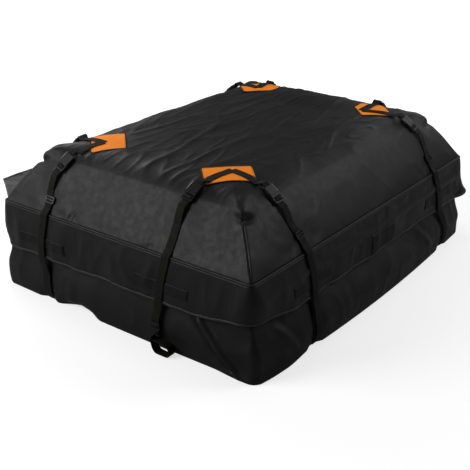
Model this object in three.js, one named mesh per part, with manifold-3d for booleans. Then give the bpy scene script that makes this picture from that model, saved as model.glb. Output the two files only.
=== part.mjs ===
// Roof cargo bag, packed and closed: a soft rectangular tub with a lid zipped on, a storm flap
// over the zip, four corner patches, and eight webbing straps with side-release buckles.
// Millimetres, +Z up. X is the long side, Y the short one, and the origin is the middle of the
// flat bottom. A "side" is one of the four walls; "along" is a place on it, measured in X or Y.

import * as THREE from "three";
import { mergeVertices } from "three/addons/utils/BufferGeometryUtils.js";
import Module from "manifold-3d";

const wasm = await Module();
wasm.setup();

// Fit between touching pieces
const GAP = 0.3;

// Bag size over the seam that joins lid and storm flap
const BAG_LENGTH = 1120;
const BAG_WIDTH = 863;
const SEAM_HEIGHT = 256;
const SEAM_CORNER_RADIUS = 45;

// Lid: steep shoulders that flatten into a slightly crowned top
const PLATEAU_LENGTH = 720;
const PLATEAU_WIDTH = 420;
const PLATEAU_HEIGHT = 420;
const CROWN_RISE = 5;
const SHOULDER_POWER = 2.9;
const LID_HEM_INSET = 5;

// Tub: straight behind the flap, swollen by the load below it
const FLAP_ROOM = 12;
const ZIP_HEIGHT = 212;
const SWELL_SHORT_SIDE = 14;
const SWELL_LONG_SIDE = 27;
const MID_BULGE_SHORT_SIDE = 6;
const MID_BULGE_LONG_SIDE = 22;
const SWELL_TOP = 168;
const SWELL_HEIGHT = 52;
const BOTTOM_EDGE_INSET = 30;

// Storm flap and the piping along its seam
const FLAP_DROP = 124;
const FLAP_THICKNESS = 2.4;
const FLAP_BELLY = 4.5;
const FLAP_HANG_ANGLE = 4;
const FLAP_END_X = -505;
const FLAP_END_SKEW = 50;
const FLAP_LIFT_LENGTH = 115;
const FLAP_LIFT_ANGLE = 92;
const FLAP_CORNER_FLARE = 20;
const PIPING_DIAMETER = 5;

// Zip under the flap, on three sides
const TAPE_HEIGHT = 32;
const TAPE_THICKNESS = 1.4;
const CHAIN_WIDTH = 8;
const CHAIN_THICKNESS = 2.4;
const ZIP_END_FROM_CORNER = 90;
const SLIDER_LENGTH = 15;
const SLIDER_WALL = 1.3;
const SLIDER_CLEARANCE = 0.45;
const SLIDER_SPACING = 24;
const BRIDGE_HEIGHT = 3.2;
const BRIDGE_BAR = 1.2;
const PULL_LENGTH = 30;
const PULL_WIDTH = 9;

// Corner patches
const PATCH_LENGTH = 132;
const PATCH_WIDTH = 97;
const PATCH_THICKNESS = 1.2;
const PATCH_CORNER_RADIUS = 12;
const PATCH_CENTRE_X = 357;
const PATCH_CENTRE_Y = 208;

// Webbing
const WEBBING_WIDTH = 25;
const WEBBING_THICKNESS = 1.6;

// Side-release buckle: socket on the short leg, clip on the long strap
const BUCKLE_WIDTH = 37;
const BUCKLE_HEIGHT = 10.4;
const SOCKET_LENGTH = 25;
const END_BAR = 5;
const BAR_THICKNESS = 3.6;
const WEBBING_SLOT = 4.6;
const BAR_WIDTH = 4;
const BUCKLE_WALL = 2.3;
const ARM_WIDTH = 4;
const ARM_LENGTH = 20;
const BARB_REACH = 3;
const WINDOW_LENGTH = 10;
const CLIP_BASE = 8;
const CLIP_PLAY = 0.35;

// Sewn anchors that hold the straps to the flap, and the tab over the sliders
const ANCHOR_LENGTH = 176;
const ANCHOR_HEIGHT = 30;
const ANCHOR_THICKNESS = 1.2;
const ANCHOR_DROP = 78;
const TAB_LENGTH = 132;
const TAB_HEIGHT = 58;
const TAB_CENTRE_X = 38;
const TAB_DROP = 88;

// Tri-glide that closes each floor loop
const GLIDE_HEIGHT = 19;
const GLIDE_THICKNESS = 2.4;
const GLIDE_RIM = 3;
const GLIDE_BAR = 3;
const GLIDE_PLAY = 0.35;
const GLIDE_TOP = 76;
const LOOP_STAND_OFF = 6;
const LOOP_SPREAD = 46;
const LOOP_HEIGHT = 32;
const LOOP_OUT = 9;

// The eight straps. The buckle is at a plan point on the lid's shoulder; seam, hem and floor are
// places along the wall; spread is the way in which the floor loop lies, or 0 where the strap's
// end is tucked in under the tub's rounded bottom edge.
const APEX_A = [-336, -203];
const APEX_B = [-374, 208];
const APEX_C = [319, -198];
const APEX_D = [342, 209];
const STRAPS = [
  ["front_left", "left", APEX_A, [-463, -181], -173, -150, -142, -1],
  ["rear_left", "left", APEX_B, [-478, 249], 257, 274, 270, 0],
  ["left_front", "front", APEX_A, [-346, -334], -331, -308, -322, 0],
  ["right_front", "front", APEX_C, [366, -332], 364, 396, 415, 0],
  ["front_right", "right", APEX_C, [463, -181], -173, -156, -150, 1],
  ["rear_right", "right", APEX_D, [478, 249], 257, 268, 264, 1],
  ["left_rear", "rear", APEX_B, [-345, 332], -300, -290, -294, 1],
  ["right_rear", "rear", APEX_D, [366, 332], 364, 372, 376, -1],
].map(([name, side, apex, buckle, seam, hem, floor, spread]) => {
  return { name, side, apex, buckle, seam, hem, floor, spread };
});

// Materials
const blackFabric = new THREE.MeshStandardMaterial({ color: 0x17181a, roughness: 0.5, metalness: 0 });
const orangeFabric = new THREE.MeshStandardMaterial({ color: 0xf0821e, roughness: 0.6, metalness: 0 });
const blackWebbing = new THREE.MeshStandardMaterial({ color: 0x141512, roughness: 0.75, metalness: 0 });
const blackPlastic = new THREE.MeshStandardMaterial({ color: 0x101012, roughness: 0.35, metalness: 0 });
const zinc = new THREE.MeshStandardMaterial({ color: 0x8d9094, roughness: 0.3, metalness: 1 });

// A closed skin over rows of points. Columns always close on themselves; rows close too when
// "loop" is true, and are capped otherwise, by a fan or by pairing the two edges of a thin strip.
function skin(rows, { loop = false, cap = "fan" } = {}) {
  const columns = rows[0].length;
  const points = rows.flat();
  const triangles = [];
  const last = loop ? rows.length : rows.length - 1;
  for (let i = 0; i < last; i += 1) {
    const a = i * columns;
    const b = ((i + 1) % rows.length) * columns;
    for (let j = 0; j < columns; j += 1) {
      const k = (j + 1) % columns;
      triangles.push([a + j, a + k, b + k], [a + j, b + k, b + j]);
    }
  }
  if (!loop) {
    addCap(points, triangles, 0, columns, true, cap);
    addCap(points, triangles, (rows.length - 1) * columns, columns, false, cap);
  }
  return closedGeometry(points, triangles);
}

function addCap(points, triangles, start, columns, first, cap) {
  const add = (a, b, c) => triangles.push(first ? [a, c, b] : [a, b, c]);
  if (cap === "strip") {
    for (let j = 0; j < columns / 2 - 1; j += 1) {
      const far = columns - 1 - j;
      add(start + j, start + j + 1, start + far);
      add(start + j + 1, start + far - 1, start + far);
    }
    return;
  }
  const centre = new THREE.Vector3();
  for (let j = 0; j < columns; j += 1) centre.add(points[start + j]);
  points.push(centre.divideScalar(columns));
  for (let j = 0; j < columns; j += 1) add(start + j, start + ((j + 1) % columns), points.length - 1);
}

// Geometry from points and triangles, turned so that its faces point out
function closedGeometry(points, triangles) {
  let volume = 0;
  for (const [a, b, c] of triangles) {
    volume += points[a].dot(new THREE.Vector3().crossVectors(points[b], points[c]));
  }
  const position = [];
  for (const [a, b, c] of triangles) {
    for (const corner of volume > 0 ? [a, b, c] : [a, c, b]) position.push(...points[corner].toArray());
  }
  const geometry = new THREE.BufferGeometry();
  geometry.setAttribute("position", new THREE.Float32BufferAttribute(position, 3));
  geometry.computeVertexNormals();
  return geometry;
}

// Joins and cuts
function solidOf(geometry) {
  const bare = geometry.index ? geometry.toNonIndexed() : geometry.clone();
  for (const name of Object.keys(bare.attributes)) {
    if (name !== "position") bare.deleteAttribute(name);
  }
  const merged = mergeVertices(bare, 1e-4);
  return new wasm.Manifold(
    new wasm.Mesh({
      numProp: 3,
      vertProperties: merged.attributes.position.array,
      triVerts: new Uint32Array(merged.index.array),
    }),
  );
}

function geometryOf(solid) {
  const { numProp, vertProperties, triVerts } = solid.getMesh();
  const position = [];
  for (const vertex of triVerts) {
    for (let axis = 0; axis < 3; axis += 1) position.push(vertProperties[vertex * numProp + axis]);
  }
  const geometry = new THREE.BufferGeometry();
  geometry.setAttribute("position", new THREE.Float32BufferAttribute(position, 3));
  geometry.computeVertexNormals();
  return geometry;
}

// Places around a rounded rectangle. Each station holds a wall or a corner and its share of it.
const STEPS_LONG = 11;
const STEPS_SHORT = 9;
const STEPS_CORNER = 4;
const WALLS = ["front", "right", "rear", "left"];

function stations() {
  const list = [];
  WALLS.forEach((wall, index) => {
    const steps = index % 2 === 0 ? STEPS_LONG : STEPS_SHORT;
    for (let k = 0; k < steps; k += 1) list.push({ wall, index, share: k / steps });
    for (let k = 0; k < STEPS_CORNER; k += 1) list.push({ corner: true, index, share: k / STEPS_CORNER });
  });
  return list;
}

// Point and outward normal of a station on a rounded rectangle
function onRectangle(station, halfLength, halfWidth, radius) {
  const turn = (station.index * Math.PI) / 2;
  const longWall = station.index % 2 === 0;
  const run = (longWall ? halfLength : halfWidth) - radius;
  const reach = longWall ? halfWidth : halfLength;
  const angle = station.corner ? (station.share * Math.PI) / 2 : 0;
  const local = station.corner
    ? new THREE.Vector2(run + radius * Math.sin(angle), -(reach - radius) - radius * Math.cos(angle))
    : new THREE.Vector2(-run + 2 * run * station.share, -reach);
  const normal = new THREE.Vector2(Math.sin(angle), -Math.cos(angle));
  const origin = new THREE.Vector2();
  local.rotateAround(origin, turn);
  normal.rotateAround(origin, turn);
  return { point: local, normal };
}

const HALF_LENGTH = BAG_LENGTH / 2;
const HALF_WIDTH = BAG_WIDTH / 2;

// Horizontal ring: a rounded rectangle grown from the seam's by its own amounts
function ring(grow, height, bulge = [0, 0]) {
  const radius = Math.max(SEAM_CORNER_RADIUS + (grow[0] + grow[1]) / 2, SEAM_CORNER_RADIUS / 2);
  return stations().map((station) => {
    const { point, normal } = onRectangle(station, HALF_LENGTH + grow[0], HALF_WIDTH + grow[1], radius);
    const swell = station.corner ? 0 : bulge[station.index % 2] * Math.sin(Math.PI * station.share);
    point.addScaledVector(normal, swell);
    return new THREE.Vector3(point.x, point.y, height);
  });
}

// Lid shape: share 0 is the foot of the shoulder, 1 the rim of the plateau
const SHOULDER_FOOT = SEAM_HEIGHT + PIPING_DIAMETER + GAP;

function shoulderGrow(share) {
  const footLength = HALF_LENGTH - LID_HEM_INSET;
  const footWidth = HALF_WIDTH - LID_HEM_INSET;
  return [
    THREE.MathUtils.lerp(footLength, PLATEAU_LENGTH / 2, share) - HALF_LENGTH,
    THREE.MathUtils.lerp(footWidth, PLATEAU_WIDTH / 2, share) - HALF_WIDTH,
  ];
}

function shoulderHeight(share) {
  return SHOULDER_FOOT + (PLATEAU_HEIGHT - SHOULDER_FOOT) * (1 - (1 - share) ** SHOULDER_POWER);
}

// Height of the lid over a plan point
function lidHeight(x, y) {
  const share = (distance, half, plateau) => {
    const foot = half - LID_HEM_INSET;
    return (foot - distance) / (foot - plateau / 2);
  };
  const shareX = share(Math.abs(x), HALF_LENGTH, PLATEAU_LENGTH);
  const shareY = share(Math.abs(y), HALF_WIDTH, PLATEAU_WIDTH);
  const low = Math.min(shareX, shareY);
  if (low < 1) return shoulderHeight(Math.max(low, 0));
  const out = Math.max((2 * Math.abs(x)) / PLATEAU_LENGTH, (2 * Math.abs(y)) / PLATEAU_WIDTH);
  return PLATEAU_HEIGHT + CROWN_RISE * (1 - out ** 2);
}

function lidNormal(x, y) {
  const step = 6;
  const slopeX = (lidHeight(x + step, y) - lidHeight(x - step, y)) / (2 * step);
  const slopeY = (lidHeight(x, y + step) - lidHeight(x, y - step)) / (2 * step);
  return new THREE.Vector3(-slopeX, -slopeY, 1).normalize();
}

function onLid(x, y, lift) {
  return new THREE.Vector3(x, y, lidHeight(x, y)).addScaledVector(lidNormal(x, y), lift);
}

function makeLid() {
  const rows = [
    ring([-FLAP_ROOM, -FLAP_ROOM], ZIP_HEIGHT + GAP),
    ring([-FLAP_ROOM, -FLAP_ROOM], ZIP_HEIGHT + TAPE_HEIGHT / 2 + 4),
    ring([-LID_HEM_INSET, -LID_HEM_INSET], SEAM_HEIGHT - 4),
  ];
  const shares = [0, 0.08, 0.17, 0.27, 0.38, 0.5, 0.64, 0.8, 1];
  for (const share of shares) rows.push(ring(shoulderGrow(share), shoulderHeight(share)));
  for (const out of [0.7, 0.35]) {
    const grow = [(out * PLATEAU_LENGTH) / 2 - HALF_LENGTH, (out * PLATEAU_WIDTH) / 2 - HALF_WIDTH];
    rows.push(ring(grow, PLATEAU_HEIGHT + CROWN_RISE * (1 - out ** 2)));
  }
  return skin(rows);
}

// Tub: how far its wall stands out beyond the wall behind the flap
function swell(height) {
  if (height >= SWELL_HEIGHT) return 1 - THREE.MathUtils.smoothstep(height, SWELL_HEIGHT, SWELL_TOP);
  return 1;
}

function bottomInset(height) {
  const below = Math.max(1 - height / SWELL_HEIGHT, 0);
  return BOTTOM_EDGE_INSET * below ** 3;
}

function tubGrow(height) {
  return [
    SWELL_SHORT_SIDE * swell(height) - bottomInset(height) - FLAP_ROOM,
    SWELL_LONG_SIDE * swell(height) - bottomInset(height) - FLAP_ROOM,
  ];
}

function tubBulge(height) {
  return [MID_BULGE_LONG_SIDE * swell(height), MID_BULGE_SHORT_SIDE * swell(height)];
}

function makeTub() {
  const heights = [0, 4, 12, 26, 48, SWELL_HEIGHT, 95, 112, 130, SWELL_TOP, ZIP_HEIGHT];
  return skin(heights.map((height) => ring(tubGrow(height), height, tubBulge(height))));
}

// Distance from the middle of the bag to the tub's face, at a place along one wall
function tubFace(longWall, along, height) {
  const grow = tubGrow(height);
  const half = longWall ? HALF_LENGTH + grow[0] : HALF_WIDTH + grow[1];
  const run = half - SEAM_CORNER_RADIUS - (grow[0] + grow[1]) / 2;
  const base = longWall ? HALF_WIDTH + grow[1] : HALF_LENGTH + grow[0];
  const bulge = tubBulge(height)[longWall ? 0 : 1];
  return base + bulge * Math.sin((Math.PI * (along + run)) / (2 * run));
}

// Storm flap: one strip that starts at the rear left corner, where its end is lifted, and runs
// all the way round. "drop" is measured down the flap from its seam.
function flapPoint(station, drop, depth) {
  const { point, normal } = onRectangle(station, HALF_LENGTH, HALF_WIDTH, SEAM_CORNER_RADIUS);
  const lift = THREE.MathUtils.degToRad(flapAngle(station, point));
  const belly = FLAP_BELLY * Math.sin((Math.PI * drop) / FLAP_DROP) * Math.cos(lift);
  const out = drop * Math.sin(lift) + belly - depth * Math.cos(lift);
  const height = SEAM_HEIGHT - drop * Math.cos(lift) - depth * Math.sin(lift);
  const skew = station.wall === "rear" ? FLAP_END_SKEW * (drop / FLAP_DROP) * Math.sin(lift) : 0;
  return new THREE.Vector3(point.x + normal.x * out + skew, point.y + normal.y * out, height);
}

// Angle of the flap from hanging straight down
function flapAngle(station, point) {
  const { smoothstep } = THREE.MathUtils;
  const more = (angle, share) => FLAP_HANG_ANGLE + (angle - FLAP_HANG_ANGLE) * share;
  if (station.wall === "rear") {
    return more(FLAP_LIFT_ANGLE, 1 - smoothstep(point.x, FLAP_END_X + 25, FLAP_END_X + FLAP_LIFT_LENGTH));
  }
  const flareCorner = station.corner && station.index === 0;
  if (flareCorner) return more(FLAP_CORNER_FLARE, smoothstep(station.share, 0, 0.6));
  if (station.wall === "right") return more(FLAP_CORNER_FLARE, 1 - smoothstep(station.share, 0, 0.12));
  return FLAP_HANG_ANGLE;
}

function flapStations() {
  const list = [];
  const run = HALF_LENGTH - SEAM_CORNER_RADIUS;
  const start = (run - FLAP_END_X) / (2 * run);
  const lifted = (run - FLAP_END_X - FLAP_LIFT_LENGTH) / (2 * run);
  const wall = (name, index, from, to, steps) => {
    for (let k = 0; k < steps; k += 1) {
      list.push({ wall: name, index, share: THREE.MathUtils.lerp(from, to, k / steps) });
    }
  };
  const corner = (index, to = 0) => {
    for (let k = STEPS_CORNER; k > to; k -= 1) list.push({ corner: true, index, share: k / STEPS_CORNER });
  };
  wall("rear", 2, start, lifted, 7);
  wall("rear", 2, lifted, 0, STEPS_LONG - 2);
  corner(1);
  wall("right", 1, 1, 0.12, STEPS_SHORT - 2);
  wall("right", 1, 0.12, 0, 3);
  corner(0);
  wall("front", 0, 1, 0, STEPS_LONG);
  corner(3);
  wall("left", 3, 1, 0, STEPS_SHORT);
  corner(2, 1);
  return list;
}

function makeStormFlap() {
  const drops = [0, 0.2, 0.5, 0.8, 1].map((share) => share * FLAP_DROP);
  const rows = flapStations().map((station) => {
    const outer = drops.map((drop) => flapPoint(station, drop, 0));
    const inner = drops.map((drop) => flapPoint(station, drop, FLAP_THICKNESS)).reverse();
    return [...outer, ...inner];
  });
  return skin(rows, { cap: "strip" });
}

// Outermost face of the flap at a height, away from its lifted and flared stretches
function flapFace(height) {
  const drop = THREE.MathUtils.clamp(SEAM_HEIGHT - height, 0, FLAP_DROP);
  const slant = drop * Math.tan(THREE.MathUtils.degToRad(FLAP_HANG_ANGLE));
  return slant + FLAP_BELLY * Math.sin((Math.PI * drop) / FLAP_DROP);
}

// Ring bodies that follow the seam's outline, from a section of [out, height] points
function around(section, list, loop) {
  const rows = list.map((station) => {
    const { point, normal } = onRectangle(station, HALF_LENGTH, HALF_WIDTH, SEAM_CORNER_RADIUS);
    return section.map(
      ([out, height]) => new THREE.Vector3(point.x + normal.x * out, point.y + normal.y * out, height),
    );
  });
  return skin(rows, { loop, cap: "fan" });
}

function makePiping() {
  const radius = PIPING_DIAMETER / 2;
  const out = radius + GAP - LID_HEM_INSET;
  const height = SEAM_HEIGHT + GAP + radius;
  const section = [];
  for (let k = 0; k < 6; k += 1) {
    const angle = (k * Math.PI) / 3;
    section.push([out + radius * Math.cos(angle), height + radius * Math.sin(angle)]);
  }
  return around(section, stations(), true);
}

// Zip tape and chain run along the left, front and right walls
function zipStations() {
  const run = HALF_WIDTH - SEAM_CORNER_RADIUS;
  const end = (ZIP_END_FROM_CORNER - SEAM_CORNER_RADIUS) / (2 * run);
  const list = [];
  const corner = (index) => {
    for (let k = 0; k < STEPS_CORNER; k += 1) list.push({ corner: true, index, share: k / STEPS_CORNER });
  };
  list.push({ wall: "left", index: 3, share: end });
  list.push({ wall: "left", index: 3, share: 1 });
  corner(3);
  list.push({ wall: "front", index: 0, share: 0 }, { wall: "front", index: 0, share: 1 });
  corner(0);
  list.push({ wall: "right", index: 1, share: 0 });
  list.push({ wall: "right", index: 1, share: 1 - end });
  return list;
}

function band(out, thickness, height, width) {
  return [
    [out, height - width / 2],
    [out + thickness, height - width / 2],
    [out + thickness, height + width / 2],
    [out, height + width / 2],
  ];
}

const TAPE_OUT = GAP - FLAP_ROOM;
const CHAIN_OUT = TAPE_OUT + TAPE_THICKNESS + GAP;

// A box between two corners, as a solid
function block(x0, x1, y0, y1, z0, z1) {
  const geometry = new THREE.BoxGeometry(x1 - x0, y1 - y0, z1 - z0);
  geometry.translate((x0 + x1) / 2, (y0 + y1) / 2, (z0 + z1) / 2);
  return solidOf(geometry);
}

// Slider in its own frame: X along the chain, Y out of the wall from the tape's face, Z up.
// A channel wraps the chain, and a bridge on its front carries the pull.
const SLIDER_INNER = GAP + CHAIN_THICKNESS + SLIDER_CLEARANCE;
const SLIDER_FACE = SLIDER_INNER + SLIDER_WALL;
const BRIDGE_HALF_WIDTH = 1.3;
const BRIDGE_HALF_LENGTH = 5;
const BRIDGE_LEG = 1.5;

function makeSlider() {
  const inner = CHAIN_WIDTH / 2 + SLIDER_CLEARANCE;
  const outer = inner + SLIDER_WALL;
  const nose = 2.5;
  const outline = new THREE.Shape();
  outline.moveTo(-SLIDER_LENGTH / 2, -outer + nose / 2);
  outline.lineTo(-SLIDER_LENGTH / 2 + nose, -outer);
  outline.lineTo(SLIDER_LENGTH / 2 - nose, -outer);
  outline.lineTo(SLIDER_LENGTH / 2, -outer + nose / 2);
  outline.lineTo(SLIDER_LENGTH / 2, outer - nose / 2);
  outline.lineTo(SLIDER_LENGTH / 2 - nose, outer);
  outline.lineTo(-SLIDER_LENGTH / 2 + nose, outer);
  outline.lineTo(-SLIDER_LENGTH / 2, outer - nose / 2);
  const depth = SLIDER_FACE - SLIDER_CLEARANCE;
  const shell = new THREE.ExtrudeGeometry(outline, { depth, bevelEnabled: false });
  shell.rotateX(Math.PI / 2);
  shell.translate(0, SLIDER_FACE, 0);
  const channel = block(-SLIDER_LENGTH, SLIDER_LENGTH, 0, SLIDER_INNER, -inner, inner);
  const bridge = block(
    -BRIDGE_HALF_LENGTH, BRIDGE_HALF_LENGTH,
    SLIDER_FACE - SLIDER_WALL / 2, SLIDER_FACE + BRIDGE_HEIGHT,
    -BRIDGE_HALF_WIDTH, BRIDGE_HALF_WIDTH,
  );
  const eye = block(
    BRIDGE_LEG - BRIDGE_HALF_LENGTH, BRIDGE_HALF_LENGTH - BRIDGE_LEG,
    SLIDER_FACE, SLIDER_FACE + BRIDGE_HEIGHT - BRIDGE_BAR,
    -2 * BRIDGE_HALF_WIDTH, 2 * BRIDGE_HALF_WIDTH,
  );
  return geometryOf(solidOf(shell).subtract(channel).add(bridge).subtract(eye));
}

// Pull in the slider's frame: its pin passes under the bridge, and its tab lies along the chain
const PULL_PIN = 1.1;

function makePull() {
  const back = SLIDER_FACE + (BRIDGE_HEIGHT - BRIDGE_BAR - PULL_PIN) / 2;
  const armInner = BRIDGE_HALF_WIDTH + SLIDER_CLEARANCE;
  const root = BRIDGE_HALF_LENGTH + SLIDER_CLEARANCE;
  const half = PULL_WIDTH / 2;
  const outline = new THREE.Shape();
  outline.moveTo(-PULL_PIN / 2, -armInner - PULL_PIN);
  outline.lineTo(root + 2, -half * 0.8);
  outline.lineTo(PULL_LENGTH - half, -half);
  outline.absarc(PULL_LENGTH - half, 0, half, -Math.PI / 2, Math.PI / 2, false);
  outline.lineTo(root + 2, half * 0.8);
  outline.lineTo(-PULL_PIN / 2, armInner + PULL_PIN);
  const eye = new THREE.Path();
  eye.moveTo(PULL_PIN / 2, -armInner);
  eye.lineTo(PULL_PIN / 2, armInner);
  eye.lineTo(root, armInner);
  eye.lineTo(root, -armInner);
  outline.holes.push(eye);
  const options = { depth: PULL_PIN, bevelEnabled: false, curveSegments: 8 };
  const tab = new THREE.ExtrudeGeometry(outline, options);
  tab.rotateX(Math.PI / 2);
  tab.translate(0, back + PULL_PIN, 0);
  return tab;
}

// Corner patch: a rounded rectangle that lies on the lid, across the corner's diagonal
function patchFrame(cornerX, cornerY) {
  const centre = new THREE.Vector2(cornerX * PATCH_CENTRE_X, cornerY * PATCH_CENTRE_Y);
  const across = new THREE.Vector2(-cornerX, cornerY).normalize();
  const outward = new THREE.Vector2(cornerX, cornerY).normalize();
  return { centre, across, outward };
}

function makePatch(cornerX, cornerY) {
  const { centre, across, outward } = patchFrame(cornerX, cornerY);
  const rows = [];
  const stepsAlong = 8;
  const stepsAcross = 6;
  for (let k = 0; k <= stepsAlong; k += 1) {
    const u = -Math.cos((Math.PI * k) / stepsAlong) * (PATCH_LENGTH / 2);
    const edge = Math.abs(u) - (PATCH_LENGTH / 2 - PATCH_CORNER_RADIUS);
    const chord = Math.sqrt(Math.max(PATCH_CORNER_RADIUS ** 2 - Math.max(edge, 0) ** 2, 0));
    const half = PATCH_WIDTH / 2 - (PATCH_CORNER_RADIUS - chord);
    const bottom = [];
    const top = [];
    for (let j = 0; j <= stepsAcross; j += 1) {
      const v = THREE.MathUtils.lerp(-half, half, j / stepsAcross);
      const x = centre.x + across.x * u + outward.x * v;
      const y = centre.y + across.y * u + outward.y * v;
      const seat = lidHeight(x, y) + 1.5 * GAP;
      bottom.push(new THREE.Vector3(x, y, seat));
      top.unshift(new THREE.Vector3(x, y, seat + PATCH_THICKNESS));
    }
    rows.push([...bottom, ...top]);
  }
  return skin(rows, { cap: "strip" });
}

// Flat webbing along a path of { point, width } or { point, normal }: the width direction is given,
// or follows from the direction that the webbing's face looks in
function webbing(path) {
  const rows = path.map(({ point, width, normal }, k) => {
    const before = path[Math.max(k - 1, 0)].point;
    const after = path[Math.min(k + 1, path.length - 1)].point;
    const run = new THREE.Vector3().subVectors(after, before).normalize();
    const across = width ? width.clone() : new THREE.Vector3().crossVectors(normal, run);
    across.addScaledVector(run, -across.dot(run)).normalize();
    const face = new THREE.Vector3().crossVectors(run, across);
    const corner = (w, t) => point.clone().addScaledVector(across, w).addScaledVector(face, t);
    const w = WEBBING_WIDTH / 2;
    const t = WEBBING_THICKNESS / 2;
    return [corner(-w, -t), corner(w, -t), corner(w, t), corner(-w, t)];
  });
  return skin(rows, { cap: "strip" });
}

// Heights of the webbing's middle over and under the buckle's bars
const OVER_BAR = (BAR_THICKNESS + WEBBING_THICKNESS) / 2 + GAP;
const UNDER_LOAD = OVER_BAR + WEBBING_THICKNESS + 2 * GAP;
const BUCKLE_LIFT = UNDER_LOAD + WEBBING_THICKNESS / 2 + 2 * GAP;
const LEG_SLOT = -(SOCKET_LENGTH + WEBBING_SLOT / 2);
const INNER_SLOT = CLIP_BASE + WEBBING_SLOT / 2;
const OUTER_SLOT = INNER_SLOT + WEBBING_SLOT + BAR_WIDTH;

// Half turn of webbing round one bar, in buckle coordinates [run, height]: it goes through the
// slot at "slot" from one level to another, and "way" says to which side it leaves
function throughSlot(slot, from, to, wayIn, wayOut) {
  const soft = 1.4;
  const rise = Math.sign(to - from);
  return [
    [slot + wayIn * soft, from + rise * 0.25],
    [slot, from + rise * 1.6],
    [slot, to - rise * 1.6],
    [slot + wayOut * soft, to - rise * 0.25],
  ];
}

// Wall side of a strap: its place along the wall at a height
const HEM_HEIGHT = SEAM_HEIGHT - FLAP_DROP;
const HANG_HEIGHT = GLIDE_TOP + 4;
const HANG_START = 115;
const TUCK_HEIGHTS = [SWELL_HEIGHT, 38, 27, 18, 10, 4];

function alongAt(strap, height) {
  const { mapLinear, clamp } = THREE.MathUtils;
  if (height > HEM_HEIGHT) {
    return mapLinear(clamp(height, HEM_HEIGHT, SEAM_HEIGHT), HEM_HEIGHT, SEAM_HEIGHT, strap.hem, strap.seam);
  }
  return mapLinear(clamp(height, HANG_HEIGHT, HEM_HEIGHT), HANG_HEIGHT, HEM_HEIGHT, strap.floor, strap.hem);
}

const OUTWARD = {
  front: new THREE.Vector3(0, -1, 0),
  right: new THREE.Vector3(1, 0, 0),
  rear: new THREE.Vector3(0, 1, 0),
  left: new THREE.Vector3(-1, 0, 0),
};

// A point at a distance out from the middle of the bag, on the strap's wall
function wallSpot(strap, along, distance, height) {
  const point = OUTWARD[strap.side].clone().multiplyScalar(distance);
  if (strap.side === "front" || strap.side === "rear") point.x = along;
  else point.y = along;
  point.z = height;
  return point;
}

// Where the strap's middle runs outside the flap, the hem and the swollen tub
const STRAP_OUT = ANCHOR_THICKNESS + 3 * GAP + WEBBING_THICKNESS / 2;
const STRAP_OFF_TUB = 3 * GAP + WEBBING_THICKNESS / 2;

function strapDistance(strap, height) {
  const longWall = strap.side === "front" || strap.side === "rear";
  const half = longWall ? HALF_WIDTH : HALF_LENGTH;
  const flap = half + flapFace(Math.max(height, HEM_HEIGHT)) + STRAP_OUT;
  if (height >= HEM_HEIGHT) return flap;
  const overTub = (level) => {
    const edges = [-0.5, 0, 0.5].map((share) => alongAt(strap, level) + share * WEBBING_WIDTH);
    return Math.max(...edges.map((along) => tubFace(longWall, along, level))) + STRAP_OFF_TUB;
  };
  const free = half + flapFace(HEM_HEIGHT) + WEBBING_THICKNESS;
  const taut = THREE.MathUtils.mapLinear(height, HANG_HEIGHT, HEM_HEIGHT, overTub(HANG_HEIGHT), free);
  if (height > HANG_HEIGHT) return Math.max(overTub(height), taut);
  return overTub(strap.spread ? HANG_HEIGHT : height);
}

// Buckle frame on the lid: "run" points down the strap, "face" out of the lid
function buckleFrame(strap) {
  const [x, y] = strap.buckle;
  const face = lidNormal(x, y);
  const end = wallSpot(strap, strap.seam, strapDistance(strap, SEAM_HEIGHT), SEAM_HEIGHT);
  const toEnd = new THREE.Vector3(end.x - x, end.y - y, 0).normalize();
  const fromApex = new THREE.Vector3(x - strap.apex[0], y - strap.apex[1], 0).normalize();
  const run = fromApex.add(toEnd);
  run.addScaledVector(face, -run.dot(face)).normalize();
  const width = new THREE.Vector3().crossVectors(face, run);
  const origin = onLid(x, y, BUCKLE_LIFT);
  const at = (s, h) => origin.clone().addScaledVector(run, s).addScaledVector(face, h);
  return { at, run, width, face, origin };
}

// Short leg from the middle of a patch to the socket's bar, sewn back on itself
function legPath(strap) {
  const frame = buckleFrame(strap);
  const far = frame.at(-SOCKET_LENGTH - WEBBING_SLOT - END_BAR - 26, 0);
  const lift = PATCH_THICKNESS + 3 * GAP + WEBBING_THICKNESS / 2;
  const path = [0, 0.17, 0.33, 0.5, 0.67, 0.83, 1].map((share) => {
    const x = THREE.MathUtils.lerp(strap.apex[0], far.x, share);
    const y = THREE.MathUtils.lerp(strap.apex[1], far.y, share);
    return { point: onLid(x, y, lift), normal: lidNormal(x, y) };
  });
  const bar = [
    [LEG_SLOT - 11, OVER_BAR + 1.3],
    [LEG_SLOT - 3.2, OVER_BAR],
    ...throughSlot(LEG_SLOT, OVER_BAR, -OVER_BAR, -1, -1),
    [LEG_SLOT - 3.2, -OVER_BAR],
    [LEG_SLOT - 14, -OVER_BAR],
  ];
  for (const [s, h] of bar) path.push({ point: frame.at(s, h), width: frame.width });
  return path;
}

// Both legs of a corner are one length of webbing, folded into a V on its patch
function makeLegs(pair) {
  return geometryOf(pair.map((strap) => solidOf(webbing(legPath(strap)))).reduce((a, b) => a.add(b)));
}

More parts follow.
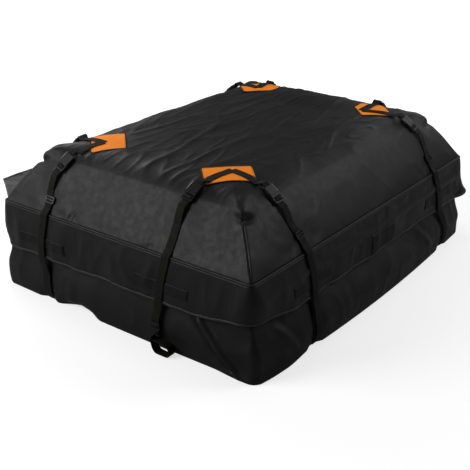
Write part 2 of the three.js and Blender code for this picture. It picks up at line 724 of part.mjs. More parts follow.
// Long strap: tail and ladder bars, down the shoulder, over the flap and the tub, through the
// tri-glide, round the floor loop and back up behind the tri-glide
function makeStrap(strap) {
  const frame = buckleFrame(strap);
  const path = [];
  const ladder = [
    [OUTER_SLOT + 24, -OVER_BAR],
    [OUTER_SLOT + 3.6, -OVER_BAR],
    ...throughSlot(OUTER_SLOT, -OVER_BAR, OVER_BAR, 1, -1),
    ...throughSlot(INNER_SLOT, OVER_BAR, -UNDER_LOAD, 1, 1),
    [OUTER_SLOT, -UNDER_LOAD],
    [OUTER_SLOT + 27, -UNDER_LOAD],
  ];
  for (const [s, h] of ladder) path.push({ point: frame.at(s, h), width: frame.width });

  const from = frame.at(OUTER_SLOT + 38, 0);
  const foot = wallSpot(strap, strap.seam, footDistance(strap) - LID_HEM_INSET - 7, 0);
  const steps = 7;
  for (let k = 0; k <= steps; k += 1) {
    const x = THREE.MathUtils.lerp(from.x, foot.x, k / steps);
    const y = THREE.MathUtils.lerp(from.y, foot.y, k / steps);
    path.push({ point: onLid(x, y, WEBBING_THICKNESS / 2 + 2 * GAP), normal: lidNormal(x, y) });
  }

  const outward = OUTWARD[strap.side];
  const heights = [
    SEAM_HEIGHT + PIPING_DIAMETER - 0.5, SEAM_HEIGHT - 4, 240, 222, 200, 178, 156, 140,
    HEM_HEIGHT - 3, 120, 109, 98, 88, HANG_HEIGHT,
  ];
  if (!strap.spread) heights.push(...TUCK_HEIGHTS);
  for (const height of heights) {
    const distance = strapDistance(strap, height) + hangOff(strap, height);
    path.push({ point: wallSpot(strap, alongAt(strap, height), distance, height), normal: outward });
  }
  if (!strap.spread) return webbing(path);

  const { at, along } = glideFrame(strap);
  const width = (twist) => {
    const angle = THREE.MathUtils.degToRad(twist);
    return along.clone().multiplyScalar(Math.cos(angle)).addScaledVector(outward, Math.sin(angle));
  };
  const sign = Math.sign(new THREE.Vector3().crossVectors(outward, new THREE.Vector3(0, 0, -1)).dot(along));
  for (const [a, out, height, twist] of [...GLIDE_WEAVE, ...FLOOR_LOOP]) {
    path.push({ point: at(a, out, height), width: width(twist).multiplyScalar(sign) });
  }
  return webbing(path);
}

function footDistance(strap) {
  return strap.side === "front" || strap.side === "rear" ? HALF_WIDTH : HALF_LENGTH;
}

// Low down the strap hangs free, far enough out for the loop's second strand behind it
const STRAND_PITCH = WEBBING_THICKNESS + 2 * GAP;

function hangOff(strap, height) {
  if (!strap.spread) return 0;
  const share = THREE.MathUtils.smoothstep(height, HANG_HEIGHT, HANG_START);
  return (STRAND_PITCH + LOOP_STAND_OFF) * (1 - share);
}

// Tri-glide frame: along the loop's spread, out from the strap's middle above it, and up
function glideFrame(strap) {
  const longWall = strap.side === "front" || strap.side === "rear";
  const along = longWall ? new THREE.Vector3(strap.spread, 0, 0) : new THREE.Vector3(0, strap.spread, 0);
  const distance = strapDistance(strap, HANG_HEIGHT) + hangOff(strap, HANG_HEIGHT);
  const base = wallSpot(strap, strap.floor, distance, 0);
  const outward = OUTWARD[strap.side];
  const at = (a, out, height) =>
    base.clone().addScaledVector(along, a).addScaledVector(outward, out).add(new THREE.Vector3(0, 0, height));
  return { at, along, outward, base };
}

// Rows of [along, out, height, twist]: the weave over the tri-glide's middle bar, which stands in
// front of the strap, and the loop, which turns edge on and lies flat on the floor
const GLIDE_MIDDLE = GLIDE_TOP - GLIDE_HEIGHT / 2;
const GLIDE_FRONT = GLIDE_THICKNESS + WEBBING_THICKNESS + 2 * GLIDE_PLAY;
const GLIDE_WEAVE = [
  [0, 0, GLIDE_MIDDLE + 6.2, 0],
  [0, GLIDE_FRONT * 0.26, GLIDE_MIDDLE + 4.6, 0],
  [0, GLIDE_FRONT * 0.74, GLIDE_MIDDLE + 3.6, 0],
  [0, GLIDE_FRONT, GLIDE_MIDDLE + 2, 0],
  [0, GLIDE_FRONT, GLIDE_MIDDLE - 2, 0],
  [0, GLIDE_FRONT * 0.74, GLIDE_MIDDLE - 3.6, 0],
  [0, GLIDE_FRONT * 0.26, GLIDE_MIDDLE - 4.6, 0],
  [0, 0, GLIDE_MIDDLE - 6.2, 0],
];
const FLOOR_LIFT = WEBBING_THICKNESS / 2;
const TWIST_TOP = GLIDE_TOP - GLIDE_HEIGHT - 2;
const TWIST = [
  [0, 0, 0],
  [4, LOOP_OUT * 0.04, 10],
  [9, LOOP_OUT * 0.25, 38],
  [14, LOOP_OUT * 0.7, 68],
  [19, LOOP_OUT * 0.95, 86],
];
const FLOOR_LOOP = [
  ...TWIST.map(([down, out, twist]) => [0, out, TWIST_TOP - down, twist]),
  [0.5, LOOP_OUT, LOOP_HEIGHT - 1, 90],
  [2, LOOP_OUT, 22, 90],
  [5.5, LOOP_OUT, 12, 90],
  [11, LOOP_OUT, 4.6, 90],
  [19, LOOP_OUT, FLOOR_LIFT, 90],
  [LOOP_SPREAD * 0.87, LOOP_OUT, FLOOR_LIFT, 90],
  [LOOP_SPREAD + 1, LOOP_OUT, 3.4, 90],
  [LOOP_SPREAD + 5, LOOP_OUT, 10, 90],
  [LOOP_SPREAD + 5, LOOP_OUT, 18, 90],
  [LOOP_SPREAD, LOOP_OUT, 26, 90],
  [LOOP_SPREAD * 0.82, LOOP_OUT, LOOP_HEIGHT - 2, 90],
  [LOOP_SPREAD * 0.5, LOOP_OUT, LOOP_HEIGHT, 90],
  [LOOP_SPREAD * 0.25, LOOP_OUT, LOOP_HEIGHT, 90],
  [6, LOOP_OUT, LOOP_HEIGHT + 1.5, 90],
  ...TWIST.map(([down, out, twist]) => {
    const angle = THREE.MathUtils.degToRad(twist);
    const apart = STRAND_PITCH + (down / TWIST_TOP);
    return [apart * Math.sin(angle), out - apart * Math.cos(angle), TWIST_TOP - down, twist];
  }).reverse(),
  [0, -STRAND_PITCH, GLIDE_TOP - 2, 0],
];

// Tri-glide: a small frame with one bar across its middle
function makeGlide() {
  const slot = (GLIDE_HEIGHT - 2 * GLIDE_RIM - GLIDE_BAR) / 2;
  const outline = roundedRectangle(WEBBING_WIDTH + 2 * (GLIDE_RIM + GLIDE_PLAY), GLIDE_HEIGHT, 2.5);
  for (const way of [-1, 1]) {
    const hole = roundedRectangle(WEBBING_WIDTH + 2 * GLIDE_PLAY, slot, 0.8, new THREE.Path());
    hole.curves.forEach((curve) => shiftCurve(curve, 0, (way * (GLIDE_BAR + slot)) / 2));
    outline.holes.push(hole);
  }
  const options = { depth: GLIDE_THICKNESS, bevelEnabled: false, curveSegments: 1 };
  const geometry = new THREE.ExtrudeGeometry(outline, options);
  geometry.translate(0, 0, -GLIDE_THICKNESS / 2);
  return geometry;
}

function roundedRectangle(width, height, radius, path = new THREE.Shape()) {
  const x = width / 2;
  const y = height / 2;
  path.moveTo(-x + radius, -y);
  path.lineTo(x - radius, -y);
  path.quadraticCurveTo(x, -y, x, -y + radius);
  path.lineTo(x, y - radius);
  path.quadraticCurveTo(x, y, x - radius, y);
  path.lineTo(-x + radius, y);
  path.quadraticCurveTo(-x, y, -x, y - radius);
  path.lineTo(-x, -y + radius);
  path.quadraticCurveTo(-x, -y, -x + radius, -y);
  return path;
}

function shiftCurve(curve, x, y) {
  for (const key of ["v0", "v1", "v2"]) {
    if (curve[key]) curve[key] = curve[key].clone().add(new THREE.Vector2(x, y));
  }
}

// Buckle pieces in their own frame: X across, Y down the strap, Z out of the lid. The socket ends
// and the clip begins at Y = 0.
function plate(outline, bottom, top) {
  const options = { depth: top - bottom, bevelEnabled: false, curveSegments: 2 };
  const geometry = new THREE.ExtrudeGeometry(outline, options);
  geometry.translate(0, 0, bottom);
  return solidOf(geometry);
}

const HALF_BUCKLE = BUCKLE_WIDTH / 2;
const CAVITY_HALF = HALF_BUCKLE - BUCKLE_WALL;
const CAVITY_HEIGHT = BUCKLE_HEIGHT / 2 - BUCKLE_WALL;
const SLOT_HALF = WEBBING_WIDTH / 2 + 0.8;

function makeSocket() {
  const section = roundedRectangle(BUCKLE_WIDTH, BUCKLE_HEIGHT, 3.2);
  const options = { depth: SOCKET_LENGTH, bevelEnabled: false, curveSegments: 2 };
  const tube = new THREE.ExtrudeGeometry(section, options);
  tube.rotateX(Math.PI / 2);
  const frameShape = new THREE.Shape();
  const tail = -(SOCKET_LENGTH + WEBBING_SLOT + END_BAR);
  frameShape.moveTo(-HALF_BUCKLE + 1, -SOCKET_LENGTH + 4);
  frameShape.lineTo(-HALF_BUCKLE + 1.5, tail + 3);
  frameShape.quadraticCurveTo(-HALF_BUCKLE + 1.5, tail, -HALF_BUCKLE + 4.5, tail);
  frameShape.lineTo(HALF_BUCKLE - 4.5, tail);
  frameShape.quadraticCurveTo(HALF_BUCKLE - 1.5, tail, HALF_BUCKLE - 1.5, tail + 3);
  frameShape.lineTo(HALF_BUCKLE - 1, -SOCKET_LENGTH + 4);
  const cavity = block(
    -CAVITY_HALF, CAVITY_HALF,
    -SOCKET_LENGTH + BUCKLE_WALL, 1,
    -CAVITY_HEIGHT, CAVITY_HEIGHT,
  );
  const slot = block(
    -SLOT_HALF, SLOT_HALF,
    -SOCKET_LENGTH - WEBBING_SLOT, -SOCKET_LENGTH,
    -BUCKLE_HEIGHT, BUCKLE_HEIGHT,
  );
  const windowEnd = -ARM_LENGTH + CLIP_PLAY + WINDOW_LENGTH;
  const sideWindow = block(
    -BUCKLE_WIDTH, BUCKLE_WIDTH,
    -ARM_LENGTH - CLIP_PLAY, windowEnd,
    -CAVITY_HEIGHT + 0.2, CAVITY_HEIGHT - 0.2,
  );
  return geometryOf(
    solidOf(tube)
      .add(plate(frameShape, -BAR_THICKNESS / 2, BAR_THICKNESS / 2))
      .subtract(cavity)
      .subtract(slot)
      .subtract(sideWindow),
  );
}

// Clip: base, ladder frame with two slots, and two barbed arms beside a guide tongue
function makeClip() {
  const armHalf = CAVITY_HEIGHT - CLIP_PLAY;
  const armOut = CAVITY_HALF - CLIP_PLAY;
  const base = roundedRectangle(BUCKLE_WIDTH - 1, CLIP_BASE - CLIP_PLAY, 1.5);
  base.curves.forEach((curve) => shiftCurve(curve, 0, (CLIP_BASE + CLIP_PLAY) / 2));
  const end = OUTER_SLOT + WEBBING_SLOT / 2 + BAR_WIDTH;
  const ladder = roundedRectangle(BUCKLE_WIDTH - 2, end - CLIP_BASE / 2, 2.5);
  ladder.curves.forEach((curve) => shiftCurve(curve, 0, (end + CLIP_BASE / 2) / 2));
  let clip = plate(base, -BUCKLE_HEIGHT / 2 + 0.8, BUCKLE_HEIGHT / 2 - 0.8)
    .add(plate(ladder, -BAR_THICKNESS / 2, BAR_THICKNESS / 2));
  for (const slot of [INNER_SLOT, OUTER_SLOT]) {
    const from = slot - WEBBING_SLOT / 2;
    const cutter = block(-SLOT_HALF, SLOT_HALF, from, from + WEBBING_SLOT, -BUCKLE_HEIGHT, BUCKLE_HEIGHT);
    clip = clip.subtract(cutter);
  }
  for (const way of [-1, 1]) {
    const arm = new THREE.Shape();
    arm.moveTo(way * (armOut - ARM_WIDTH), CLIP_BASE / 2);
    arm.lineTo(way * (armOut - ARM_WIDTH + 0.6), -ARM_LENGTH + 3);
    arm.lineTo(way * (armOut - 1.5), -ARM_LENGTH);
    arm.lineTo(way * (armOut + BARB_REACH), -ARM_LENGTH + WINDOW_LENGTH - 2);
    arm.lineTo(way * (armOut - 0.4), -ARM_LENGTH + WINDOW_LENGTH - 1);
    arm.lineTo(way * armOut, CLIP_BASE / 2);
    clip = clip.add(plate(arm, -armHalf, armHalf));
  }
  const tongue = roundedRectangle(6, ARM_LENGTH + CLIP_BASE / 2, 2);
  tongue.curves.forEach((curve) => shiftCurve(curve, 0, (CLIP_BASE / 2 - ARM_LENGTH) / 2));
  return geometryOf(clip.add(plate(tongue, -armHalf, armHalf)));
}

// Sewn rectangles on the flap: they bend with its belly
function makeFlapPad(side, along, length, drop, height) {
  const strap = { side };
  const half = footDistance(strap);
  const levels = [-0.5, -0.17, 0.17, 0.5].map((share) => SEAM_HEIGHT - drop + share * height);
  const rows = [along - length / 2, along + length / 2].map((place) => {
    const inner = levels.map((z) => wallSpot(strap, place, half + flapFace(z) + GAP, z));
    const outer = levels.map((z) => wallSpot(strap, place, half + flapFace(z) + GAP + ANCHOR_THICKNESS, z));
    return [...inner, ...outer.reverse()];
  });
  return skin(rows, { cap: "strip" });
}

// The whole bag
const bag = new THREE.Group();

function place(name, geometry, material, matrix) {
  const mesh = new THREE.Mesh(geometry, material);
  mesh.name = name;
  if (matrix) mesh.applyMatrix4(matrix);
  bag.add(mesh);
  return mesh;
}

function frameMatrix(x, y, z, origin) {
  return new THREE.Matrix4().makeBasis(x, y, z).setPosition(origin);
}

place("tub", makeTub(), blackFabric);
place("lid", makeLid(), blackFabric);
place("storm_flap", makeStormFlap(), blackFabric);
place("piping", makePiping(), blackFabric);
const tape = band(TAPE_OUT, TAPE_THICKNESS, ZIP_HEIGHT, TAPE_HEIGHT);
const chain = band(CHAIN_OUT, CHAIN_THICKNESS, ZIP_HEIGHT, CHAIN_WIDTH);
place("zip_tape", around(tape, zipStations(), false), blackWebbing);
place("zip_chain", around(chain, zipStations(), false), blackPlastic);

// Two sliders meet in the middle of the front; each pull lies away from the meeting point
const slider = makeSlider();
const pull = makePull();
for (const [name, way] of [["left", -1], ["right", 1]]) {
  const out = HALF_WIDTH + TAPE_OUT + TAPE_THICKNESS;
  const origin = new THREE.Vector3(way * (SLIDER_SPACING / 2), -out, ZIP_HEIGHT);
  const along = new THREE.Vector3(way, 0, 0);
  const up = new THREE.Vector3(0, 0, way);
  const matrix = frameMatrix(along, new THREE.Vector3(0, -1, 0), up.negate(), origin);
  place("zip_slider_" + name, slider, zinc, matrix);
  place("zip_pull_" + name, pull, zinc, matrix);
}

const CORNERS = [
  ["front_left", -1, -1, "front_left", "left_front"],
  ["rear_left", -1, 1, "rear_left", "left_rear"],
  ["front_right", 1, -1, "front_right", "right_front"],
  ["rear_right", 1, 1, "rear_right", "right_rear"],
];
for (const [name, x, y, shortStrap, longStrap] of CORNERS) {
  place("patch_" + name, makePatch(x, y), orangeFabric);
  const pair = STRAPS.filter((strap) => strap.name === shortStrap || strap.name === longStrap);
  place("legs_" + name, makeLegs(pair), blackWebbing);
}

const socket = makeSocket();
const clip = makeClip();
const glide = makeGlide();
for (const strap of STRAPS) {
  const frame = buckleFrame(strap);
  const buckleMatrix = frameMatrix(frame.width.clone().negate(), frame.run, frame.face, frame.origin);
  place("socket_" + strap.name, socket, blackPlastic, buckleMatrix);
  place("clip_" + strap.name, clip, blackPlastic, buckleMatrix);
  place("strap_" + strap.name, makeStrap(strap), blackWebbing);
  const anchorAlong = alongAt(strap, SEAM_HEIGHT - ANCHOR_DROP);
  place(
    "anchor_" + strap.name,
    makeFlapPad(strap.side, anchorAlong, ANCHOR_LENGTH, ANCHOR_DROP, ANCHOR_HEIGHT),
    blackWebbing,
  );
  if (!strap.spread) continue;
  const { at, outward } = glideFrame(strap);
  const across = new THREE.Vector3().crossVectors(new THREE.Vector3(0, 0, 1), outward);
  place(
    "glide_" + strap.name,
    glide,
    blackPlastic,
    frameMatrix(across, new THREE.Vector3(0, 0, 1), outward, at(0, GLIDE_FRONT / 2, GLIDE_MIDDLE)),
  );
}
place("centre_tab", makeFlapPad("front", TAB_CENTRE_X, TAB_LENGTH, TAB_DROP, TAB_HEIGHT), blackWebbing);

export default bag;
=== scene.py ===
# %% [markdown]
# # Roof cargo bag, packed and closed
# The real bag is a lid and a tub of coated tarpaulin, joined by a zip that a storm flap covers.
# Four orange patches on the lid carry webbing legs, and eight straps with side-release buckles
# run down the sides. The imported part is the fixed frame: its rigid pieces are kept and get new
# materials, and every soft piece is made again here, finer, from the same dimensions.

import math

import bmesh
import bpy
import numpy as np
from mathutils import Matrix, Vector, noise


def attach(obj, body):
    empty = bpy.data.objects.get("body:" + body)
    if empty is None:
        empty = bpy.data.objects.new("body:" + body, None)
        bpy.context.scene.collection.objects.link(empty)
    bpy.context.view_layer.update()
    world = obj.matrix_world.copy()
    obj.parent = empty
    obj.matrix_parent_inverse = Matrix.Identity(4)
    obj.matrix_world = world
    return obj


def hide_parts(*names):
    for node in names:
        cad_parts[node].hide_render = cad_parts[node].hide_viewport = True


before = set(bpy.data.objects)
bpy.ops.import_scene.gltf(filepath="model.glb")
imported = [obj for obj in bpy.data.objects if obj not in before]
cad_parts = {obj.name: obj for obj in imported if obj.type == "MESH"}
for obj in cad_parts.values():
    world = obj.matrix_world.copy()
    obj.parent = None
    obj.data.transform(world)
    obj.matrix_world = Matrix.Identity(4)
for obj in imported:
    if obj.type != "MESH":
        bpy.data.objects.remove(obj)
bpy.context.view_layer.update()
BODY = "bag"
print("frame nodes:", len(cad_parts))

# %% [markdown]
# The dimensions are the part's own, in millimetres. Positions are worked out in millimetres and
# turned into metres when a mesh is made, so every number here is one that a tape would read.

# %% Dimensions
GAP = 0.3
HALF_LENGTH = 560.0
HALF_WIDTH = 431.5
SEAM_HEIGHT = 256.0
SEAM_RADIUS = 45.0
CLOTH_RADIUS = 16.0
HEM_ROUNDING = 26.0
LID_INSET = 5.0
PLATEAU = (360.0, 210.0)
PLATEAU_HEIGHT = 420.0
CROWN_RISE = 5.0
SHOULDER_POWER = 2.9
SHOULDER_FOOT = SEAM_HEIGHT + 5.0 + GAP
FLAP_ROOM = 12.0
ZIP_HEIGHT = 212.0
SWELL = (14.0, 27.0)
MID_BULGE = (6.0, 22.0)
SWELL_TOP = 168.0
SWELL_HEIGHT = 52.0
BOTTOM_INSET = 30.0
CLOTH_INSET = 3.0
FLAP_DROP = 124.0
FLAP_BELLY = 4.5
HANG_ANGLE = 4.0
FLAP_END_X = -540.0
FLAP_END_SKEW = 58.0
LIFT_START, LIFT_LENGTH = 110.0, 235.0
LIFT_ANGLE = 94.0
CORNER_FLARE = 20.0
HEM_HEIGHT = SEAM_HEIGHT - FLAP_DROP


def smooth(x, a, b):
    t = np.clip((np.asarray(x, float) - a) / (b - a), 0.0, 1.0)
    return t * t * (3.0 - 2.0 * t)


def bump(x, centre, width):
    """A round bump, 1 at the centre and 0 beyond the width."""
    t = np.clip(np.abs(np.asarray(x, float) - centre) / width, 0.0, 1.0)
    return (1.0 - t * t) ** 2


# %% [markdown]
# Eight straps: for each the wall it runs down, the patch it comes from, the plan point of its
# buckle, its places along the wall at the seam, the hem and the floor, and which way its floor
# loop lies, 0 where the end is tucked in under the tub.

# %% Strap table
APEX = {"A": (-336, -203), "B": (-374, 208), "C": (319, -198), "D": (342, 209)}
STRAPS = [
    ("front_left", "left", "A", (-463, -181), -173, -150, -142, -1),
    ("rear_left", "left", "B", (-478, 249), 257, 274, 270, 0),
    ("left_front", "front", "A", (-346, -334), -331, -308, -322, 0),
    ("right_front", "front", "C", (366, -332), 364, 396, 415, 0),
    ("front_right", "right", "C", (463, -181), -173, -156, -150, 1),
    ("rear_right", "right", "D", (478, 249), 257, 268, 264, 1),
    ("left_rear", "rear", "B", (-345, 332), -300, -290, -294, 1),
    ("right_rear", "rear", "D", (366, 332), 364, 372, 376, -1),
]
OUTWARD = {
    "front": np.array([0.0, -1, 0]),
    "right": np.array([1.0, 0, 0]),
    "rear": np.array([0.0, 1, 0]),
    "left": np.array([-1.0, 0, 0]),
}
STRAP_KEYS = ("name", "side", "apex", "buckle", "seam", "hem", "floor", "spread")
STRAPS = [dict(zip(STRAP_KEYS, row)) for row in STRAPS]

# %% [markdown]
# A sewn bag is a set of skins, so each skin is a grid of points: rows go down the profile and
# columns go round the outline. One function turns a grid into a smooth mesh with a UV map in
# metres, which the materials use for weave and webbing ribs.

# %% Grid meshes
def new_object(name, data):
    obj = bpy.data.objects.new(name, data)
    bpy.context.scene.collection.objects.link(obj)
    return obj


def grid_faces(rows, columns):
    """The quads of a grid whose last column joins its first."""
    r = np.arange(rows - 1)[:, None]
    c = np.arange(columns)[None, :]
    a = r * columns + c
    b = r * columns + (c + 1) % columns
    return np.stack([a, b, b + columns, a + columns], -1).reshape(-1, 4)


def grid_uv(points):
    """Lengths along columns and rows, in metres, measured on the grid itself."""
    closed = np.concatenate([points, points[:, :1]], 1)
    along = np.linalg.norm(np.diff(closed, axis=1), axis=2).mean(0)
    down = np.linalg.norm(np.diff(closed, axis=0), axis=2).mean(1)
    u = np.concatenate([[0.0], np.cumsum(along)])
    v = np.concatenate([[0.0], np.cumsum(down)])
    return u / 1000.0, v / 1000.0


def mesh_from(name, verts, faces, uvs=None):
    mesh = bpy.data.meshes.new(name)
    mesh.from_pydata((np.asarray(verts) / 1000.0).tolist(), [], [list(map(int, f)) for f in faces])
    if uvs is not None:
        layer = mesh.uv_layers.new(name="cloth")
        layer.data.foreach_set("uv", np.asarray(uvs, np.float32).ravel())
    mesh.polygons.foreach_set("use_smooth", [True] * len(mesh.polygons))
    mesh.update()
    return new_object(name, mesh)


def grid_object(name, points):
    rows, columns = points.shape[:2]
    faces = grid_faces(rows, columns)
    u, v = grid_uv(points)
    rr, cc = np.meshgrid(np.arange(rows - 1), np.arange(columns), indexing="ij")
    uv = np.stack([
        np.stack([u[cc], v[rr]], -1),
        np.stack([u[cc + 1], v[rr]], -1),
        np.stack([u[cc + 1], v[rr + 1]], -1),
        np.stack([u[cc], v[rr + 1]], -1),
    ], 2).reshape(-1, 2)
    return mesh_from(name, points.reshape(-1, 3), faces, uv)


def grid_normals(points, wrap=True):
    """Unit normals of a grid, pointing out of the bag."""
    if wrap:
        across = np.roll(points, -1, 1) - np.roll(points, 1, 1)
    else:
        across = np.gradient(points, axis=1)
    down = np.gradient(points, axis=0)
    n = np.cross(down, across)
    length = np.linalg.norm(n, axis=2, keepdims=True)
    n = n / np.maximum(length, 1e-9)
    outward = points - np.array([0.0, 0.0, SEAM_HEIGHT * 0.6])
    return n if (n * outward).sum() > 0 else -n


def field(points, scale, seed, stretch=(1, 1, 1), octaves=2):
    """Smooth noise from -1 to 1 on the points; scale is the size of its lumps in millimetres."""
    flat = points.reshape(-1, 3) / (np.array(stretch) * scale)
    total = np.zeros(len(flat))
    for k in range(octaves):
        offset = Vector((seed * 13.7 + k * 5.1, seed * 7.3, seed * 3.9 - k))
        total += np.array([noise.noise(Vector(p) * (2 ** k) + offset) for p in flat]) / (1.8 ** k)
    return total.reshape(points.shape[:-1])


def creases(points, scale, seed, stretch=(1, 1, 1), sharp=2.5):
    """Thin raised folds: the ridges of a noise field."""
    ridge = 1.0 - np.abs(field(points, scale, seed, stretch, 1)) * 2.2
    return np.clip(ridge, 0, 1) ** sharp


# %% [markdown]
# The outline in plan is a rectangle with rounded corners. A station is a place on it: which
# wall or corner, and how far along. The same stations carry the lid, the tub, the flap and the
# piping, so their seams meet.

# %% Outline
WALL_NAMES = ["front", "right", "rear", "left"]


def outline_stations(long_steps, short_steps, corner_steps):
    rows = []
    for index in range(4):
        steps = long_steps if index % 2 == 0 else short_steps
        rows += [(0, index, k / steps) for k in range(steps)]
        rows += [(1, index, k / corner_steps) for k in range(corner_steps)]
    return np.array(rows, float)


def on_outline(stations, half_length, half_width, radius):
    corner, index, share = stations.T
    turn = index * math.pi / 2
    long_wall = index % 2 == 0
    run = np.where(long_wall, half_length, half_width) - radius
    reach = np.where(long_wall, half_width, half_length)
    angle = corner * share * math.pi / 2
    x = np.where(corner > 0, run + radius * np.sin(angle), -run + 2 * run * share)
    y = np.where(corner > 0, -(reach - radius) - radius * np.cos(angle), -reach)
    nx, ny = np.sin(angle), -np.cos(angle)
    c, s = np.cos(turn), np.sin(turn)
    point = np.stack([x * c - y * s, x * s + y * c], -1)
    normal = np.stack([nx * c - ny * s, nx * s + ny * c], -1)
    return point, normal


def ring(stations, grow, height, bulge=(0.0, 0.0)):
    radius = max(CLOTH_RADIUS + (grow[0] + grow[1]) / 2, CLOTH_RADIUS / 2)
    point, normal = on_outline(stations, HALF_LENGTH + grow[0], HALF_WIDTH + grow[1], radius)
    corner, index, share = stations.T
    amount = np.where(index % 2 == 0, bulge[0], bulge[1])
    swell = np.where(corner > 0, 0.0, amount * np.sin(np.pi * share))
    point = point + normal * swell[:, None]
    return np.concatenate([point, np.full((len(point), 1), height)], 1)


ROUND = outline_stations(150, 112, 18)
print("outline columns:", len(ROUND))

# %% [markdown]
# The lid is stretched over the load: steep at the foot of its shoulder, then flattening to a
# slightly crowned top. Its cloth is real cloth, so it has long soft drag lines across the top,
# a sewn dart from each corner of the seam up towards the patch, and small puckers at the seam.

# %% Lid form
FACET_END = 0.43


def shoulder_height(share):
    rise = PLATEAU_HEIGHT - SHOULDER_FOOT
    return SHOULDER_FOOT + rise * (1 - (1 - share) ** SHOULDER_POWER)


def shoulder_grow(share):
    foot = (HALF_LENGTH - LID_INSET, HALF_WIDTH - LID_INSET)
    return (
        foot[0] + (PLATEAU[0] - foot[0]) * share - HALF_LENGTH,
        foot[1] + (PLATEAU[1] - foot[1]) * share - HALF_WIDTH,
    )


def lid_shares(x, y):
    foot_x, foot_y = HALF_LENGTH - LID_INSET, HALF_WIDTH - LID_INSET
    share_x = (foot_x - np.abs(x)) / (foot_x - PLATEAU[0])
    share_y = (foot_y - np.abs(y)) / (foot_y - PLATEAU[1])
    return share_x, share_y


def facet_drop(share, x, y):
    """How far the taut cloth lies under the full shoulder, between the seam and the fold."""
    low = np.clip(share, 0, FACET_END)
    chord = SHOULDER_FOOT + (shoulder_height(FACET_END) - SHOULDER_FOOT) * low / FACET_END
    share_x, share_y = lid_shares(x, y)
    flat = 0.4 + 0.6 * smooth(share_y - share_x, -0.12, 0.12)
    for strap in STRAPS:
        bx, by = strap["buckle"]
        flat = flat * (1 - bump(np.hypot(x - bx, y - by), 0, 80))
    return (shoulder_height(low) - chord) * flat


def lid_height(x, y):
    x, y = np.asarray(x, float), np.asarray(y, float)
    low = np.clip(np.minimum(*lid_shares(x, y)), 0, 1)
    out = np.maximum(np.abs(x) / PLATEAU[0], np.abs(y) / PLATEAU[1])
    top = PLATEAU_HEIGHT + CROWN_RISE * (1 - np.minimum(out, 1) ** 2)
    return np.where(low < 1, shoulder_height(low) - facet_drop(low, x, y), top)


def lid_normal(x, y, step=6.0):
    slope_x = (lid_height(x + step, y) - lid_height(x - step, y)) / (2 * step)
    slope_y = (lid_height(x, y + step) - lid_height(x, y - step)) / (2 * step)
    n = np.array([-slope_x, -slope_y, 1.0])
    return n / np.linalg.norm(n)


def on_lid(x, y, lift):
    return np.array([x, y, float(lid_height(x, y))]) + lid_normal(x, y) * lift


def lid_grid():
    rows = [ring(ROUND, (-FLAP_ROOM - 1.5, -FLAP_ROOM - 1.5), ZIP_HEIGHT - 10)]
    rows.append(ring(ROUND, (-FLAP_ROOM - 1.0, -FLAP_ROOM - 1.0), ZIP_HEIGHT + 12))
    rows.append(ring(ROUND, (-LID_INSET - 2, -LID_INSET - 2), SEAM_HEIGHT - 6))
    rows.append(ring(ROUND, (-LID_INSET, -LID_INSET), SEAM_HEIGHT - 1))
    for share in np.linspace(0, 1, 60) ** 1.2:
        row = ring(ROUND, shoulder_grow(share), shoulder_height(share))
        row[:, 2] -= facet_drop(share, row[:, 0], row[:, 1])
        rows.append(row)
    for out in np.linspace(0.97, 0.0, 30):
        grow = (out * PLATEAU[0] - HALF_LENGTH, out * PLATEAU[1] - HALF_WIDTH)
        radius = CLOTH_RADIUS / 2 * out
        point, _ = on_outline(ROUND, HALF_LENGTH + grow[0], HALF_WIDTH + grow[1], radius)
        height = PLATEAU_HEIGHT + CROWN_RISE * (1 - out ** 2)
        rows.append(np.concatenate([point, np.full((len(point), 1), height)], 1))
    return np.array(rows)


# %% [markdown]
# Where things press on the cloth, it can't wrinkle: under each patch, under the buckles and
# straps, and along the seam. Those places are masks that hold the folds down.

# %% Lid cloth
PATCH_AT = (357.0, 208.0)
PATCH_LENGTH, PATCH_WIDTH, PATCH_THICK, PATCH_RADIUS = 132.0, 97.0, 1.2, 12.0
PATCH_CENTRES = [(sx * PATCH_AT[0], sy * PATCH_AT[1]) for sx in (-1, 1) for sy in (-1, 1)]


def patch_mask(x, y, reach=95.0):
    held = np.zeros_like(x)
    for cx, cy in PATCH_CENTRES:
        held = np.maximum(held, bump(np.hypot(x - cx, y - cy), 0, reach))
    return np.clip(held * 2.2, 0, 1)


def dart_fold(x, y, corner):
    """The dart that closes one corner of the lid: a seam up the hip, a pinch where it ends, and
    above the pinch a rounded fold of spare cloth."""
    sx, sy = corner
    up, share_y = lid_shares(x, y)
    side = (up - share_y) * 150.0
    here = (np.sign(x) == sx) & (np.sign(y) == sy)
    seam = np.exp(-((side / 2.6) ** 2)) * smooth(up, 0.42, 0.34)
    low = np.minimum(up, share_y)
    crest = low + 0.0014 * np.maximum(side, 0)
    pinch = np.exp(-(((crest - 0.372) / 0.020) ** 2)) * np.exp(-(((side - 10) / 17) ** 2))
    fold = np.exp(-(((low - 0.50) / 0.085) ** 2)) * np.exp(-(((side - 12) / 30) ** 2))
    lip = np.exp(-(((crest - 0.425) / 0.026) ** 2)) * np.exp(-(((side - 12) / 22) ** 2))
    return np.where(here, -2.2 * seam - 11.0 * pinch + 9.0 * fold + 4.5 * lip, 0.0)


